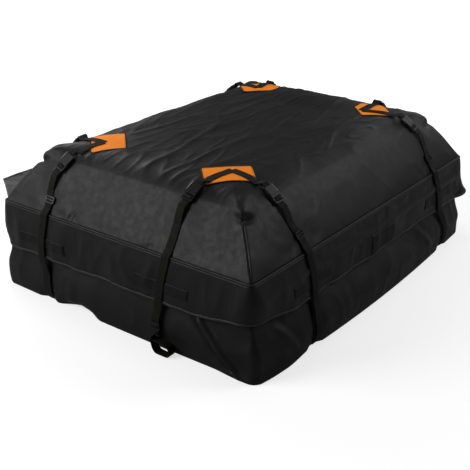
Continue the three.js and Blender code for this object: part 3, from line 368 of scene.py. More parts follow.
def lid_relief(points):
    x, y, z = points[..., 0], points[..., 1], points[..., 2]
    free = 1 - patch_mask(x, y)
    seam = smooth(z, SEAM_HEIGHT + 2, SEAM_HEIGHT + 30)
    top = smooth(z, 385, 415)
    drag = creases(points, 62, 3, (4.6, 1.0, 9.0), 3.0) * 2.8
    drag += creases(points, 38, 5, (3.4, 1.0, 9.0), 3.5) * 1.7
    slack = field(points, 150, 7, (1.3, 1.0, 1.0)) * 2.8
    slope = field(points, 90, 11, (1.0, 1.0, 1.6)) * 1.1
    slope = slope + creases(points, 100, 13, (1, 1, 2.2), 3) * 1.3
    relief = (drag * top + slope * (1 - top) + slack) * free
    pucker = 0.35 + 2.6 * bump(y, 180, 75) * (x < -480) + 1.9 * bump(y, -110, 75) * (x < -480)
    pucker += 1.6 * bump(np.abs(x), 330, 90) * (np.abs(y) > 380)
    gather = field(points, 15, 17, (1, 1, 5.0), 1) * 2.2 * bump(z, SEAM_HEIGHT + 18, 34) * pucker
    relief = relief * seam + gather * smooth(z, SEAM_HEIGHT - 1, SEAM_HEIGHT + 5)
    for corner, strength in (((-1, -1), 1.0), ((1, -1), 0.7), ((-1, 1), 1.25), ((1, 1), 0.7)):
        relief = relief + dart_fold(x, y, corner) * strength * (0.35 + 0.65 * free) * seam
    relief += 8.0 * bump(x, 352, 120) * bump(y, 0, 215)
    relief += 2.5 * bump(y, 212, 90) * bump(x, -60, 330)
    return relief


def relax_at_straps(points, relief, spots, reach):
    """Less relief near the given plan spots, where straps and buckles press."""
    x, y = points[..., 0], points[..., 1]
    held = np.zeros_like(x)
    for sx, sy in spots:
        held = np.maximum(held, bump(np.hypot(x - sx, y - sy), 0, reach))
    return relief * (1 - 0.85 * np.clip(held * 1.6, 0, 1)) - held * 0.6


def push_out(points, relief):
    return points + grid_normals(points) * relief[..., None]


# %% [markdown]
# Webbing is a flat woven strip of constant width, so each length of it is one sweep: a path of
# points, each with the direction across the strip. Here are the measures of webbing, buckle and
# tri-glide, and where a strap lies on the lid, on the flap and down the tub's wall.

# %% Strap measures and places
WEB_WIDTH, WEB_THICK = 25.0, 1.6
BAR_THICK, SOCKET_LENGTH, END_BAR, SLOT, CLIP_BASE, BAR_WIDTH = 3.6, 25.0, 5.0, 4.6, 8.0, 4.0
OVER_BAR = (BAR_THICK + WEB_THICK) / 2 + GAP
UNDER_LOAD = OVER_BAR + WEB_THICK + 2 * GAP
BUCKLE_LIFT = UNDER_LOAD + WEB_THICK / 2 + 2 * GAP
LEG_SLOT = -(SOCKET_LENGTH + SLOT / 2)
INNER_SLOT = CLIP_BASE + SLOT / 2
OUTER_SLOT = INNER_SLOT + SLOT + BAR_WIDTH
GLIDE_TOP, GLIDE_HEIGHT, GLIDE_THICK, GLIDE_PLAY = 76.0, 19.0, 2.4, 0.35
LOOP_STAND_OFF, LOOP_SPREAD, LOOP_HEIGHT, LOOP_OUT = 6.0, 56.0, 33.0, 9.0
HANG_HEIGHT, HANG_START = GLIDE_TOP + 4, 115.0
PITCH = WEB_THICK + 2 * GAP
ANCHOR_THICK = 1.2
STRAP_OUT = ANCHOR_THICK + 3 * GAP + WEB_THICK / 2
STRAP_OFF_TUB = 3 * GAP + WEB_THICK / 2
FOOT_INSET = 7


def unit(v):
    return v / np.linalg.norm(v)


def long_side(strap):
    return strap["side"] in ("front", "rear")


def swell_share(z):
    return 1 - float(smooth(z, SWELL_HEIGHT, SWELL_TOP))


def bottom_inset(z):
    return BOTTOM_INSET * max(1 - z / SWELL_HEIGHT, 0) ** 3


def tub_grow(z):
    inset = bottom_inset(z)
    s = swell_share(z)
    return SWELL[0] * s - inset - FLAP_ROOM, SWELL[1] * s - inset - FLAP_ROOM


def tub_bulge(z):
    s = swell_share(z)
    return MID_BULGE[1] * s, MID_BULGE[0] * s


def tub_face(is_long, along, z):
    grow = tub_grow(z)
    half = HALF_LENGTH + grow[0] if is_long else HALF_WIDTH + grow[1]
    run = half - SEAM_RADIUS - (grow[0] + grow[1]) / 2
    base = HALF_WIDTH + grow[1] if is_long else HALF_LENGTH + grow[0]
    return base + tub_bulge(z)[0 if is_long else 1] * math.sin(math.pi * (along + run) / (2 * run))


def flap_face(z):
    drop = min(max(SEAM_HEIGHT - z, 0), FLAP_DROP)
    belly = FLAP_BELLY * math.sin(math.pi * drop / FLAP_DROP)
    return drop * math.tan(math.radians(HANG_ANGLE)) + belly


def lerp(x, a, b, low, high):
    t = min(max((x - a) / (b - a), 0), 1)
    return low + (high - low) * t


def along_at(strap, z):
    if z > HEM_HEIGHT:
        return lerp(z, HEM_HEIGHT, SEAM_HEIGHT, strap["hem"], strap["seam"])
    return lerp(z, HANG_HEIGHT, HEM_HEIGHT, strap["floor"], strap["hem"])


def wall_spot(strap, along, distance, z):
    p = OUTWARD[strap["side"]] * distance
    p[0 if long_side(strap) else 1] = along
    p[2] = z
    return p


def lid_foot(strap):
    """The plan point where a strap leaves the lid, a little inside the seam."""
    half = HALF_WIDTH if long_side(strap) else HALF_LENGTH
    return wall_spot(strap, strap["seam"], half - LID_INSET - FOOT_INSET, 0)


def over_tub(strap, z):
    spots = [along_at(strap, z) + k * WEB_WIDTH for k in (-0.5, 0, 0.5)]
    return max(tub_face(long_side(strap), a, z) for a in spots) + STRAP_OFF_TUB


def strap_distance(strap, z):
    half = HALF_WIDTH if long_side(strap) else HALF_LENGTH
    if z >= HEM_HEIGHT:
        return half + flap_face(z) + STRAP_OUT
    free = half + flap_face(HEM_HEIGHT) + WEB_THICK
    if z > HANG_HEIGHT:
        share = (z - HANG_HEIGHT) / (HEM_HEIGHT - HANG_HEIGHT)
        low = over_tub(strap, HANG_HEIGHT)
        return max(over_tub(strap, z), low + (free - low) * share)
    return over_tub(strap, HANG_HEIGHT if strap["spread"] else z)


def hang_off(strap, z):
    if not strap["spread"]:
        return 0.0
    return (PITCH + LOOP_STAND_OFF) * (1 - float(smooth(z, HANG_HEIGHT, HANG_START)))


def buckle_frame(strap):
    x, y = strap["buckle"]
    face = lid_normal(x, y)
    end = wall_spot(strap, strap["seam"], strap_distance(strap, SEAM_HEIGHT), SEAM_HEIGHT)
    ax, ay = APEX[strap["apex"]]
    run = unit(np.array([x - ax, y - ay, 0.0])) + unit(np.array([end[0] - x, end[1] - y, 0.0]))
    run = unit(run - face * run.dot(face))
    width = np.cross(face, run)
    origin = on_lid(x, y, BUCKLE_LIFT)
    return {"at": lambda s, h: origin + run * s + face * h, "run": run, "width": width, "face": face}


# %% [markdown]
# Threading: the strap's tail lies under the ladder, turns up through the outer slot, goes back
# over the bar and down through the inner slot, and leaves underneath. The legs turn round the
# socket's end bar and are sewn back on themselves.

# %% Strap paths
def through_slot(slot, a, b, way_in, way_out):
    rise = math.copysign(1.0, b - a)
    return [
        (slot + way_in * 1.4, a + rise * 0.25),
        (slot, a + rise * 1.6),
        (slot, b - rise * 1.6),
        (slot + way_out * 1.4, b - rise * 0.25),
    ]


def leg_path(strap):
    f = buckle_frame(strap)
    far = f["at"](-SOCKET_LENGTH - SLOT - END_BAR - 26, 0)
    ax, ay = APEX[strap["apex"]]
    path = []
    for share in np.linspace(0, 1, 13):
        x, y = ax + (far[0] - ax) * share, ay + (far[1] - ay) * share
        path.append((on_lid(x, y, PATCH_THICK + 3 * GAP + WEB_THICK / 2), None, lid_normal(x, y)))
    bar = [(LEG_SLOT - 11, OVER_BAR + 1.3), (LEG_SLOT - 3.2, OVER_BAR)]
    bar += through_slot(LEG_SLOT, OVER_BAR, -OVER_BAR, -1, -1)
    bar += [(LEG_SLOT - 3.2, -OVER_BAR), (LEG_SLOT - 14, -OVER_BAR)]
    return path + [(f["at"](s, h), f["width"], None) for s, h in bar]


TWIST = [(0, 0, 0), (4, 0.04, 10), (9, 0.25, 38), (14, 0.7, 68), (19, 0.95, 86)]
TWIST_TOP = GLIDE_TOP - GLIDE_HEIGHT - 2
GLIDE_MIDDLE = GLIDE_TOP - GLIDE_HEIGHT / 2
GLIDE_FRONT = GLIDE_THICK + WEB_THICK + 2 * GLIDE_PLAY


def floor_rows():
    """Rows of along, out, height and twist: the weave over the tri-glide's bar, then the loop."""
    weave = [(6.2, 0), (4.6, 0.26), (3.6, 0.74), (2, 1)]
    weave += [(-h, o) for h, o in reversed(weave)]
    rows = [(0, GLIDE_FRONT * o, GLIDE_MIDDLE + h, 0) for h, o in weave]
    rows += [(0, LOOP_OUT * o, TWIST_TOP - d, t) for d, o, t in TWIST]
    s, out, top = LOOP_SPREAD, LOOP_OUT, LOOP_HEIGHT
    turn = [(0.5, top - 1), (2, 22), (5.5, 12), (11, 4.6), (19, 0.8), (s * 0.87, 0.8), (s + 1, 3.4)]
    turn += [(s + 5, 10), (s + 5, 18), (s, 26), (s * 0.82, top - 2), (s * 0.5, top), (s * 0.25, top)]
    turn += [(6, top + 1.5)]
    rows += [(a, out, z, 90) for a, z in turn]
    for d, o, t in reversed(TWIST):
        angle, apart = math.radians(t), PITCH + d / TWIST_TOP
        out = LOOP_OUT * o - apart * math.cos(angle)
        rows.append((apart * math.sin(angle), out, TWIST_TOP - d, t))
    return rows + [(0, -PITCH, GLIDE_TOP - 2, 0)]


def strap_path(strap):
    f = buckle_frame(strap)
    ladder = [(OUTER_SLOT + 24, -OVER_BAR), (OUTER_SLOT + 3.6, -OVER_BAR)]
    ladder += through_slot(OUTER_SLOT, -OVER_BAR, OVER_BAR, 1, -1)
    ladder += through_slot(INNER_SLOT, OVER_BAR, -UNDER_LOAD, 1, 1)
    ladder += [(OUTER_SLOT, -UNDER_LOAD), (OUTER_SLOT + 27, -UNDER_LOAD)]
    path = [(f["at"](s, h), f["width"], None) for s, h in ladder]
    start, foot = f["at"](OUTER_SLOT + 38, 0), lid_foot(strap)
    for share in np.linspace(0, 1, 10):
        x, y = start[0] + (foot[0] - start[0]) * share, start[1] + (foot[1] - start[1]) * share
        path.append((on_lid(x, y, WEB_THICK / 2 + 2 * GAP), None, lid_normal(x, y)))
    heights = [SEAM_HEIGHT + 4.5, SEAM_HEIGHT - 4, 240, 222, 200, 178, 156, 140, HEM_HEIGHT - 3]
    heights += [120, 109, 98, 88, HANG_HEIGHT]
    if not strap["spread"]:
        heights += [66, SWELL_HEIGHT, 44, 37, 30, 24, 18, 13, 9, 6, 4]
    outward = OUTWARD[strap["side"]]
    for z in heights:
        distance = strap_distance(strap, z) + hang_off(strap, z)
        if not strap["spread"]:
            distance += 0.5 * bottom_inset(z)
        path.append((wall_spot(strap, along_at(strap, z), distance, z), None, outward))
    if not strap["spread"]:
        return path
    along = np.zeros(3)
    along[0 if long_side(strap) else 1] = strap["spread"]
    distance = strap_distance(strap, HANG_HEIGHT) + hang_off(strap, HANG_HEIGHT)
    base = wall_spot(strap, strap["floor"], distance, 0)
    sign = np.sign(np.cross(outward, [0, 0, -1.0]).dot(along))
    for a, out, z, twist in floor_rows():
        t = math.radians(twist)
        width = (along * math.cos(t) + outward * math.sin(t)) * sign
        path.append((base + along * a + outward * out + np.array([0, 0, z]), width, None))
    return path


# %% [markdown]
# The sweep first settles the direction across the strip at each point of the path, then rounds
# the path off with a spline, and puts a section with soft edges on it. Where a strap's end is
# tucked in under the tub, its second strand comes back up over the first to a tri-glide on the
# shoulder. The frame has no tri-glide there, so three are made as copies of one that it has.

# %% Webbing sweep
SWEEP_STEPS = 3
GLIDE_LIFT = 1.2


def spline(values, per):
    """Uniform Catmull-Rom through the values, with a number of steps per span."""
    v = np.array(values)
    ends = np.vstack([2 * v[0] - v[1], v, 2 * v[-1] - v[-2]])
    out = []
    for k in range(len(v) - 1):
        p0, p1, p2, p3 = ends[k:k + 4]
        for t in np.arange(per) / per:
            out.append(0.5 * (2 * p1 + (p2 - p0) * t + (2 * p0 - 5 * p1 + 4 * p2 - p3) * t * t
                              + (3 * p1 - p0 - 3 * p2 + p3) * t ** 3))
    out.append(v[-1])
    return np.array(out)


def linear(values, per):
    v = np.array(values)
    t = np.linspace(0, len(v) - 1, (len(v) - 1) * per + 1)
    k = np.minimum(t.astype(int), len(v) - 2)
    w = (t - k)[:, None]
    return v[k] * (1 - w) + v[k + 1] * w


def settle(path):
    points = np.array([p for p, _, _ in path])
    across = []
    for k, (_, width, normal) in enumerate(path):
        run = unit(points[min(k + 1, len(path) - 1)] - points[max(k - 1, 0)])
        w = np.array(width) if width is not None else np.cross(normal, run)
        across.append(unit(w - run * w.dot(run)))
    return points, np.array(across)


def webbing_points(path):
    """The swept grid of one length, and its middle line."""
    points, across = settle(path)
    mid, side = spline(points, SWEEP_STEPS), linear(across, SWEEP_STEPS)
    run = np.gradient(mid, axis=0)
    run /= np.linalg.norm(run, axis=1, keepdims=True)
    side -= run * (side * run).sum(1)[:, None]
    side /= np.linalg.norm(side, axis=1, keepdims=True)
    face = np.cross(run, side)
    w, t = WEB_WIDTH / 2, WEB_THICK / 2
    section = [(-w, 0), (-w + 0.35, -t * 0.8), (-w + 1.4, -t), (-w * 0.45, -t * 0.94),
               (0, -t), (w * 0.45, -t * 0.94), (w - 1.4, -t), (w - 0.35, -t * 0.8)]
    section += [(-a, -b) for a, b in section]
    grid = np.array([mid + side * a + face * b for a, b in section]).transpose(1, 0, 2)
    return grid, mid


def webbing_object(name, paths):
    """One mesh from one or more swept lengths, with UVs along and across the strip."""
    verts, faces, uvs = [], [], []
    for path in paths:
        grid, mid = webbing_points(path)
        rows, columns = grid.shape[:2]
        steps = np.linalg.norm(np.diff(mid, axis=0), axis=1)
        length = np.concatenate([[0], np.cumsum(steps)]) / 1000
        base = sum(len(v) for v in verts)
        verts.append(grid.reshape(-1, 3))
        quads = grid_faces(rows, columns)
        faces += (quads + base).tolist()
        across = [0.0, 0.01, 0.06, 0.28, 0.5, 0.72, 0.94, 0.99, 1.0]
        across = (np.array(across + across[-2::-1]) - 0.5) * WEB_WIDTH / 1000
        for r in range(rows - 1):
            for c in range(columns):
                uvs += [(length[r], across[c]), (length[r], across[c + 1]),
                        (length[r + 1], across[c + 1]), (length[r + 1], across[c])]
        for row, flip in ((0, False), (rows - 1, True)):
            loop = [base + row * columns + c for c in range(columns)]
            faces.append(loop if flip else loop[::-1])
            uvs += [(length[row], 0.0)] * columns
    return mesh_from(name, np.vstack(verts), faces, uvs)


def spare_strand(strap):
    """The strand that comes back from the tucked floor loop, lying over the strap to a tri-glide."""
    outward = OUTWARD[strap["side"]]
    foot = lid_foot(strap)
    bx, by = strap["buckle"]
    path = []
    for share in (0.74, 0.82, 0.90, 0.97):
        x, y = bx + (foot[0] - bx) * share, by + (foot[1] - by) * share
        path.append((on_lid(x, y, WEB_THICK * 1.5 + 4 * GAP), None, lid_normal(x, y)))
    heights = [SEAM_HEIGHT + 4.5, SEAM_HEIGHT - 4, 222, 178, HEM_HEIGHT - 3]
    for z in heights + [112, 95, 80, 60, 44, 30, 18, 9, 4]:
        shift = strap["strand"] * float(smooth(z, 150, 60))
        out = strap_distance(strap, z) + PITCH + 2.0 * float(bump(z, 80, 60))
        out += 0.5 * bottom_inset(z)
        path.append((wall_spot(strap, along_at(strap, z) + shift, out, z), None, outward))
    return path


def tri_glide(name, path, at):
    """A copy of the tri-glide's own form, laid over the strand at one point of its path."""
    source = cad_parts["glide_front_left"].data
    points, across = settle(path)
    run, side = unit(points[at + 1] - points[at - 1]), across[at]
    face = np.cross(run, side)
    face = face if face.dot(points[at] - np.array([0, 0, 150.0])) > 0 else -face
    local = np.array([v.co for v in source.vertices]) * 1000
    local = local - (local.min(0) + local.max(0)) / 2
    moved = (points[at] + face * GLIDE_LIFT + np.outer(local[:, 1], side)
             + np.outer(local[:, 2], run) + np.outer(local[:, 0], face))
    obj = mesh_from(name, moved, [tuple(p.vertices) for p in source.polygons])
    obj.data.polygons.foreach_set("use_smooth", [False] * len(obj.data.polygons))
    return obj


STRAND_SHIFT = {"rear_left": -9.0, "left_front": 7.0, "right_front": 10.0}
upper_glides = []
strap_objects = {}
for strap in STRAPS:
    strap["strand"] = STRAND_SHIFT.get(strap["name"], 0.0)
    paths = [strap_path(strap)] + ([] if strap["spread"] else [spare_strand(strap)])
    strap_objects[strap["name"]] = webbing_object("webbing_" + strap["name"], paths)
    if not strap["spread"]:
        upper_glides.append(tri_glide("tri_glide_" + strap["name"], paths[1], 1))
CORNERS = [("front_left", "A"), ("rear_left", "B"), ("front_right", "C"), ("rear_right", "D")]
leg_objects = {}
for corner, apex in CORNERS:
    pair = [leg_path(strap) for strap in STRAPS if strap["apex"] == apex]
    leg_objects[corner] = webbing_object("webbing_legs_" + corner, pair)
print("webbing lengths:", len(strap_objects), "straps and", len(leg_objects), "pairs of legs")

# %% [markdown]
# Now the lid's cloth can be made, because the places where buckles and straps press on it are
# known. It is one skin from the zip up to the middle of the top.

# %% Lid cloth object
def lid_spots():
    spots = []
    for strap in STRAPS:
        for path in (strap_path(strap), leg_path(strap)):
            spots += [(p[0], p[1]) for p, _, _ in path if p[2] > SEAM_HEIGHT + 12]
    return spots[::3]


lid_points = lid_grid()
lid_amount = relax_at_straps(lid_points, lid_relief(lid_points), lid_spots(), 34.0)
lid_points = push_out(lid_points, lid_amount)
lid_cloth = grid_object("lid_cloth", lid_points)
print("lid cloth faces:", len(lid_cloth.data.polygons))

# %% [markdown]
# The tub holds the load's weight, so it swells low down, bulges most in the middle of each wall
# and turns in at the floor. Near a tucked strap it's drawn in, and beside one on the left wall it
# lifts a little. The near corner has spare cloth: one diagonal crease, and a spill at the floor.

# %% Tub cloth
SPILLS = [((-455, -430), 115, 12.0), ((-545, -405), 95, 7.0)]


def tucked_in(points, outward, amount):
    """Pulls the bottom edge in where a strap is tucked under it, lifts it beside one, and pushes
    it out where cloth spills; a spill has a plan point, a reach and a depth."""
    for strap in STRAPS:
        if strap["spread"]:
            continue
        along = points[:, 0] if long_side(strap) else points[:, 1]
        facing = points @ OUTWARD[strap["side"]] > 300
        points = points - outward * (0.5 * amount * bump(along, strap["floor"], 40) * facing)[:, None]
    lifted = bump(points[:, 1], 150, 88) * (points[:, 0] < -300) * min(amount / 20, 1)
    points = points - outward * (22.0 * lifted)[:, None]
    points[:, 2] += 7.0 * lifted
    x, y = points[:, 0], points[:, 1]
    spilled = np.zeros_like(x)
    for (sx, sy), reach, depth in SPILLS:
        spilled += depth * bump(np.hypot(x - sx, y - sy), 0, reach)
    return points + outward * (spilled * min(amount / 20, 1))[:, None]


def tub_ring(z):
    eased = bottom_inset(z)
    edge = CLOTH_INSET * max(1 - z / 9.0, 0) ** 2
    grow = [g + eased - edge for g in tub_grow(z)]
    _, normal = on_outline(ROUND, HALF_LENGTH, HALF_WIDTH, CLOTH_RADIUS)
    outward = np.concatenate([normal, np.zeros((len(normal), 1))], 1)
    return tucked_in(ring(ROUND, grow, z, tub_bulge(z)), outward, max(eased - edge, 0))


def tub_grid():
    heights = np.concatenate([[0.0, 0.6, 1.6, 3.2, 5.5, 8.5], np.linspace(12, 60, 16),
                              np.linspace(66, ZIP_HEIGHT + 8, 30)])
    rows = [tub_ring(z) for z in heights]
    floor = []
    for out in (0.0, 0.3, 0.6, 0.85, 0.96):
        edge = rows[0]
        floor.append(np.stack([edge[:, 0] * out, edge[:, 1] * out, np.full(len(edge), 0.0)], -1))
    return np.array(floor + rows)[::-1]


def crease_line(points, side, start, end, width, depth):
    """A fold across one wall from start to end, each (along, height): a ridge beside a groove."""
    along = points[..., 0] if side in ("front", "rear") else points[..., 1]
    z = points[..., 2]
    outward = OUTWARD[side]
    facing = points[..., 0] * outward[0] + points[..., 1] * outward[1]
    reach = HALF_WIDTH if side in ("front", "rear") else HALF_LENGTH
    on_side = smooth(facing, reach - 60, reach - 30)
    a, b = np.array(start, float), np.array(end, float)
    d = unit(b - a)
    rel = np.stack([along - a[0], z - a[1]], -1)
    t = rel @ d
    s = rel @ np.array([-d[1], d[0]])
    span = np.linalg.norm(b - a)
    here = smooth(t, -0.05 * span, 0.15 * span) * smooth(t, 1.05 * span, 0.8 * span)
    ridge = np.exp(-((s / width) ** 2)) - 0.8 * np.exp(-(((s - width * 1.3) / width) ** 2))
    return ridge * here * depth * on_side


def tub_relief(points):
    x, y, z = points[..., 0], points[..., 1], points[..., 2]
    low = smooth(z, 3, 30)
    room = smooth(z, ZIP_HEIGHT, 120)
    relief = field(points, 170, 21) * 4.0 + field(points, 60, 23, (1, 1, 1.8)) * 1.6
    relief += creases(points, 85, 25, (1.0, 1.0, 1.7), 3) * 2.2
    relief *= low * room
    relief += crease_line(points, "left", (-255, 134), (-402, 4), 9, 16.0)
    relief += crease_line(points, "front", (-470, 120), (-395, 30), 11, 4.0)
    relief += crease_line(points, "front", (250, 124), (330, 40), 12, 3.0)
    relief += crease_line(points, "right", (-250, 124), (-370, 30), 11, 3.5)
    relief += crease_line(points, "rear", (-250, 120), (-380, 30), 12, 3.5)
    corner = bump(np.hypot(np.abs(x) - 545, np.abs(y) - 420), 0, 85)
    relief -= corner * bump(z, 104, 30) * 2.6
    return relief


def hold_at_walls(points, relief, reach=30.0):
    """Relief eases off where a strap lies on the wall."""
    held = np.zeros(points.shape[:-1])
    for strap in STRAPS:
        outward = OUTWARD[strap["side"]]
        along = points[..., 0] if long_side(strap) else points[..., 1]
        facing = points[..., 0] * outward[0] + points[..., 1] * outward[1]
        half = HALF_WIDTH if long_side(strap) else HALF_LENGTH
        z = points[..., 2]
        centre = np.where(z > HEM_HEIGHT,
                          np.interp(z, [HEM_HEIGHT, SEAM_HEIGHT], [strap["hem"], strap["seam"]]),
                          np.interp(z, [HANG_HEIGHT, HEM_HEIGHT], [strap["floor"], strap["hem"]]))
        held = np.maximum(held, bump(along, centre, reach + 14) * (facing > half - 60))
    return relief * (1 - np.clip(held * 1.7, 0, 1))


tub_points = tub_grid()
tub_amount = hold_at_walls(tub_points, tub_relief(tub_points))
tub_points = push_out(tub_points, tub_amount * (tub_points[..., 2] > 0.5))
tub_cloth = grid_object("tub_cloth", tub_points)
print("tub cloth faces:", len(tub_cloth.data.polygons))

# %% [markdown]
# The storm flap is one long strip of the same tarpaulin, sewn on under the piping. It hangs by
# its top edge, so its hem is the part that waves. Its end at the rear left corner is lifted, its
# hem rises at the near corner, and it stands off at the front right corner. Along the front it's
# held away from the tub at the height of the zip's pulls, so that they can swing behind it.

# %% Storm flap
def flap_stations():
    run = HALF_LENGTH - CLOTH_RADIUS
    start = (run - FLAP_END_X) / (2 * run)
    rows = [(0, 2, s) for s in np.linspace(start, 0, 180, endpoint=False)]
    for index, steps in ((1, 130), (0, 170), (3, 130)):
        rows += [(1, index, s) for s in np.linspace(1, 0, 18, endpoint=False)]
        rows += [(0, index, s) for s in np.linspace(1, 0, steps, endpoint=False)]
    rows += [(1, 2, s) for s in np.linspace(1, 0.12, 14)]
    return np.array(rows, float)


def flap_lift(stations, point):
    corner, index, share = stations.T
    lift = np.full(len(stations), HANG_ANGLE)
    rear = (corner == 0) & (index == 2)
    up = 1 - smooth(point[:, 0], FLAP_END_X + LIFT_START, FLAP_END_X + LIFT_LENGTH)
    lift = np.where(rear, HANG_ANGLE + (LIFT_ANGLE - HANG_ANGLE) * up, lift)
    flare = np.where((corner > 0) & (index == 0), smooth(share, 0, 0.6), 0)
    flare = np.where((corner == 0) & (index == 1), 1 - smooth(share, 0, 0.12), flare)
    return lift + (CORNER_FLARE - HANG_ANGLE) * flare


FLAP = flap_stations()
FLAP_POINT, _ = on_outline(FLAP, HALF_LENGTH, HALF_WIDTH, CLOTH_RADIUS)
FLAP_LIFT = np.radians(flap_lift(FLAP, FLAP_POINT))


def flap_surface(drops):
    rows = []
    for drop in drops:
        belly = FLAP_BELLY * math.sin(math.pi * min(drop / FLAP_DROP, 1)) * np.cos(FLAP_LIFT)
        rear = (FLAP[:, 0] == 0) & (FLAP[:, 1] == 2)
        lean = np.where(rear, 1.0, (drop / FLAP_DROP) ** 1.6)
        hang = math.sin(math.radians(HANG_ANGLE))
        out = drop * (hang + (np.sin(FLAP_LIFT) - hang) * lean) + belly
        z = SEAM_HEIGHT - drop * np.cos(FLAP_LIFT)
        skew = np.where(rear, FLAP_END_SKEW * (drop / FLAP_DROP) * np.sin(FLAP_LIFT), 0)
        radius = CLOTH_RADIUS + HEM_ROUNDING * drop / FLAP_DROP
        point, normal = on_outline(FLAP, HALF_LENGTH, HALF_WIDTH, radius)
        xy = point + normal * out[:, None]
        rows.append(np.stack([xy[:, 0] + skew, xy[:, 1], z], -1))
    return np.array(rows)


FLAP_DROPS = np.linspace(0, FLAP_DROP, 30)
flap_base = flap_surface(FLAP_DROPS)


def flap_relief(points):
    down = (FLAP_DROPS / FLAP_DROP)[:, None] * np.ones(points.shape[1])
    flat = points * np.array([1, 1, 0.25])
    wave = field(flat, 95, 31, octaves=1) * 7.0 + field(flat, 44, 33, octaves=1) * 3.0
    drape = field(points, 80, 35, (1, 1, 3.0)) * 5.2 + creases(points, 75, 37, (1, 1, 2.6), 3) * 3.4
    gather = field(points, 24, 39, (1, 1, 7.0), 1) * 1.1 * bump(points[..., 2], SEAM_HEIGHT - 14, 24)
    relief = wave * down ** 2.2 + drape * np.sin(np.pi * np.clip(down, 0, 1)) * 0.9
    return (relief + gather) * smooth(down, 0.0, 0.10)


PULL_HEIGHT, PULL_REACH, PULL_SPAN = 211, 26, 530
LEAST_AMOUNT, PULL_CLEARANCE = -3.5, 7.5
HEM_RISE, HEM_RISE_REACH = 21.0, 190
flap_amount = hold_at_walls(flap_base, flap_relief(flap_base), 34.0)
FLAP_FACE = grid_normals(flap_base, False)
along_front = (flap_base[..., 1] < -HALF_WIDTH) * (np.abs(flap_base[..., 0]) < PULL_SPAN)
pull_room = bump(flap_base[..., 2], PULL_HEIGHT, PULL_REACH) * along_front
flap_amount = np.maximum(flap_amount, LEAST_AMOUNT + PULL_CLEARANCE * pull_room)
flap_outer = flap_base + FLAP_FACE * flap_amount[..., None]
wave_down = field(flap_base[-1:] * np.array([1, 1, 0]), 120, 41, octaves=1)[0] * 3.0
near_corner = np.hypot(flap_base[-1, :, 0] + HALF_LENGTH, flap_base[-1, :, 1] + HALF_WIDTH)
wave_down += HEM_RISE * bump(near_corner, 0, HEM_RISE_REACH)
flap_outer[..., 2] += wave_down[None, :] * ((FLAP_DROPS / FLAP_DROP) ** 2)[:, None]


def sheet_loop(outer, face, thick):
    """Outer rows, then inner rows upwards, so that the grid wraps round the sheet's edges."""
    inner = outer - face * thick
    return np.concatenate([outer, inner[::-1]], 0)


flap_grid = sheet_loop(flap_outer, FLAP_FACE, 2.0)
flap_cloth = grid_object("flap_cloth", flap_grid.transpose(1, 0, 2))
print("flap faces:", len(flap_cloth.data.polygons))

# %% [markdown]
# A strip's place on the flap is found from the flap's own grid, so the hem binding, the sewn
# rectangles and the stitches all follow its waves.

# %% Places on the flap
SPAN_ROW = 19
FLAP_SPAN = {}
for index, side in enumerate(WALL_NAMES):
    columns = np.where((FLAP[:, 0] == 0) & (FLAP[:, 1] == index))[0]
    values = flap_base[SPAN_ROW, columns, 0 if side in ("front", "rear") else 1]
    order = np.argsort(values)
    FLAP_SPAN[side] = (values[order], columns[order])


def flap_at(side, along, drop, off):
    """Point and outward direction on the relieved flap."""
    values, columns = FLAP_SPAN[side]
    c = np.interp(along, values, columns)
    r = drop / FLAP_DROP * (len(FLAP_DROPS) - 1)
    c0, r0 = int(math.floor(c)), int(min(math.floor(r), len(FLAP_DROPS) - 2))
    c1, fc, fr = min(c0 + 1, flap_outer.shape[1] - 1), c - c0, r - r0
    mix = lambda g: ((g[r0, c0] * (1 - fc) + g[r0, c1] * fc) * (1 - fr)
                     + (g[r0 + 1, c0] * (1 - fc) + g[r0 + 1, c1] * fc) * fr)
    face = unit(mix(FLAP_FACE))
    return mix(flap_outer) + face * off, face


def pad_on_flap(name, side, along, length, drop, height):
    us = np.linspace(along - length / 2, along + length / 2, max(int(length / 4), 8))
    vs = np.linspace(drop - height / 2, drop + height / 2, 10)
    rim = lambda k, n: 0.35 if k in (0, n - 1) else 1.0
    rows = []
    for i, u in enumerate(us):
        offs = [GAP + ANCHOR_THICK * rim(i, len(us)) * rim(j, len(vs)) for j in range(len(vs))]
        outer = [flap_at(side, u, v, off)[0] for v, off in zip(vs, offs)]
        inner = [flap_at(side, u, v, GAP)[0] for v in vs[::-1]]
        rows.append(outer + inner)
    obj = grid_object(name, np.array(rows))
    cap_ends(obj, len(us), len(rows[0]))
    return obj


def cap_ends(obj, rows, columns):
    """Closes the first and last row of a wrapped grid with one face each."""
    mesh = obj.data
    verts = [tuple(v.co) for v in mesh.vertices]
    faces = [tuple(p.vertices) for p in mesh.polygons]
    uv = np.empty(len(mesh.loops) * 2, np.float32)
    mesh.uv_layers[0].data.foreach_get("uv", uv)
    first = list(range(columns))
    last = [(rows - 1) * columns + c for c in range(columns)]
    new = bpy.data.meshes.new(mesh.name + "_capped")
    new.from_pydata(verts, [], faces + [first[::-1], last])
    layer = new.uv_layers.new(name="cloth")
    extra = np.zeros(columns * 4, np.float32)
    layer.data.foreach_set("uv", np.concatenate([uv, extra]))
    new.polygons.foreach_set("use_smooth", [True] * len(new.polygons))
    new.update()
    obj.data = new


cap_ends(flap_cloth, flap_grid.shape[1], flap_grid.shape[0])
PAD_DROP = 78
PAD_SIZE = (176, PAD_DROP, 30)
TAB_ALONG, TAB_LENGTH, TAB_DROP, TAB_HEIGHT = 38, 132, 88, 58
pads = {}
for strap in STRAPS:
    centre = along_at(strap, SEAM_HEIGHT - PAD_DROP)
    pads[strap["name"]] = pad_on_flap("sewn_pad_" + strap["name"], strap["side"], centre, *PAD_SIZE)
tab = pad_on_flap("centre_tab_cloth", "front", TAB_ALONG, TAB_LENGTH, TAB_DROP, TAB_HEIGHT)


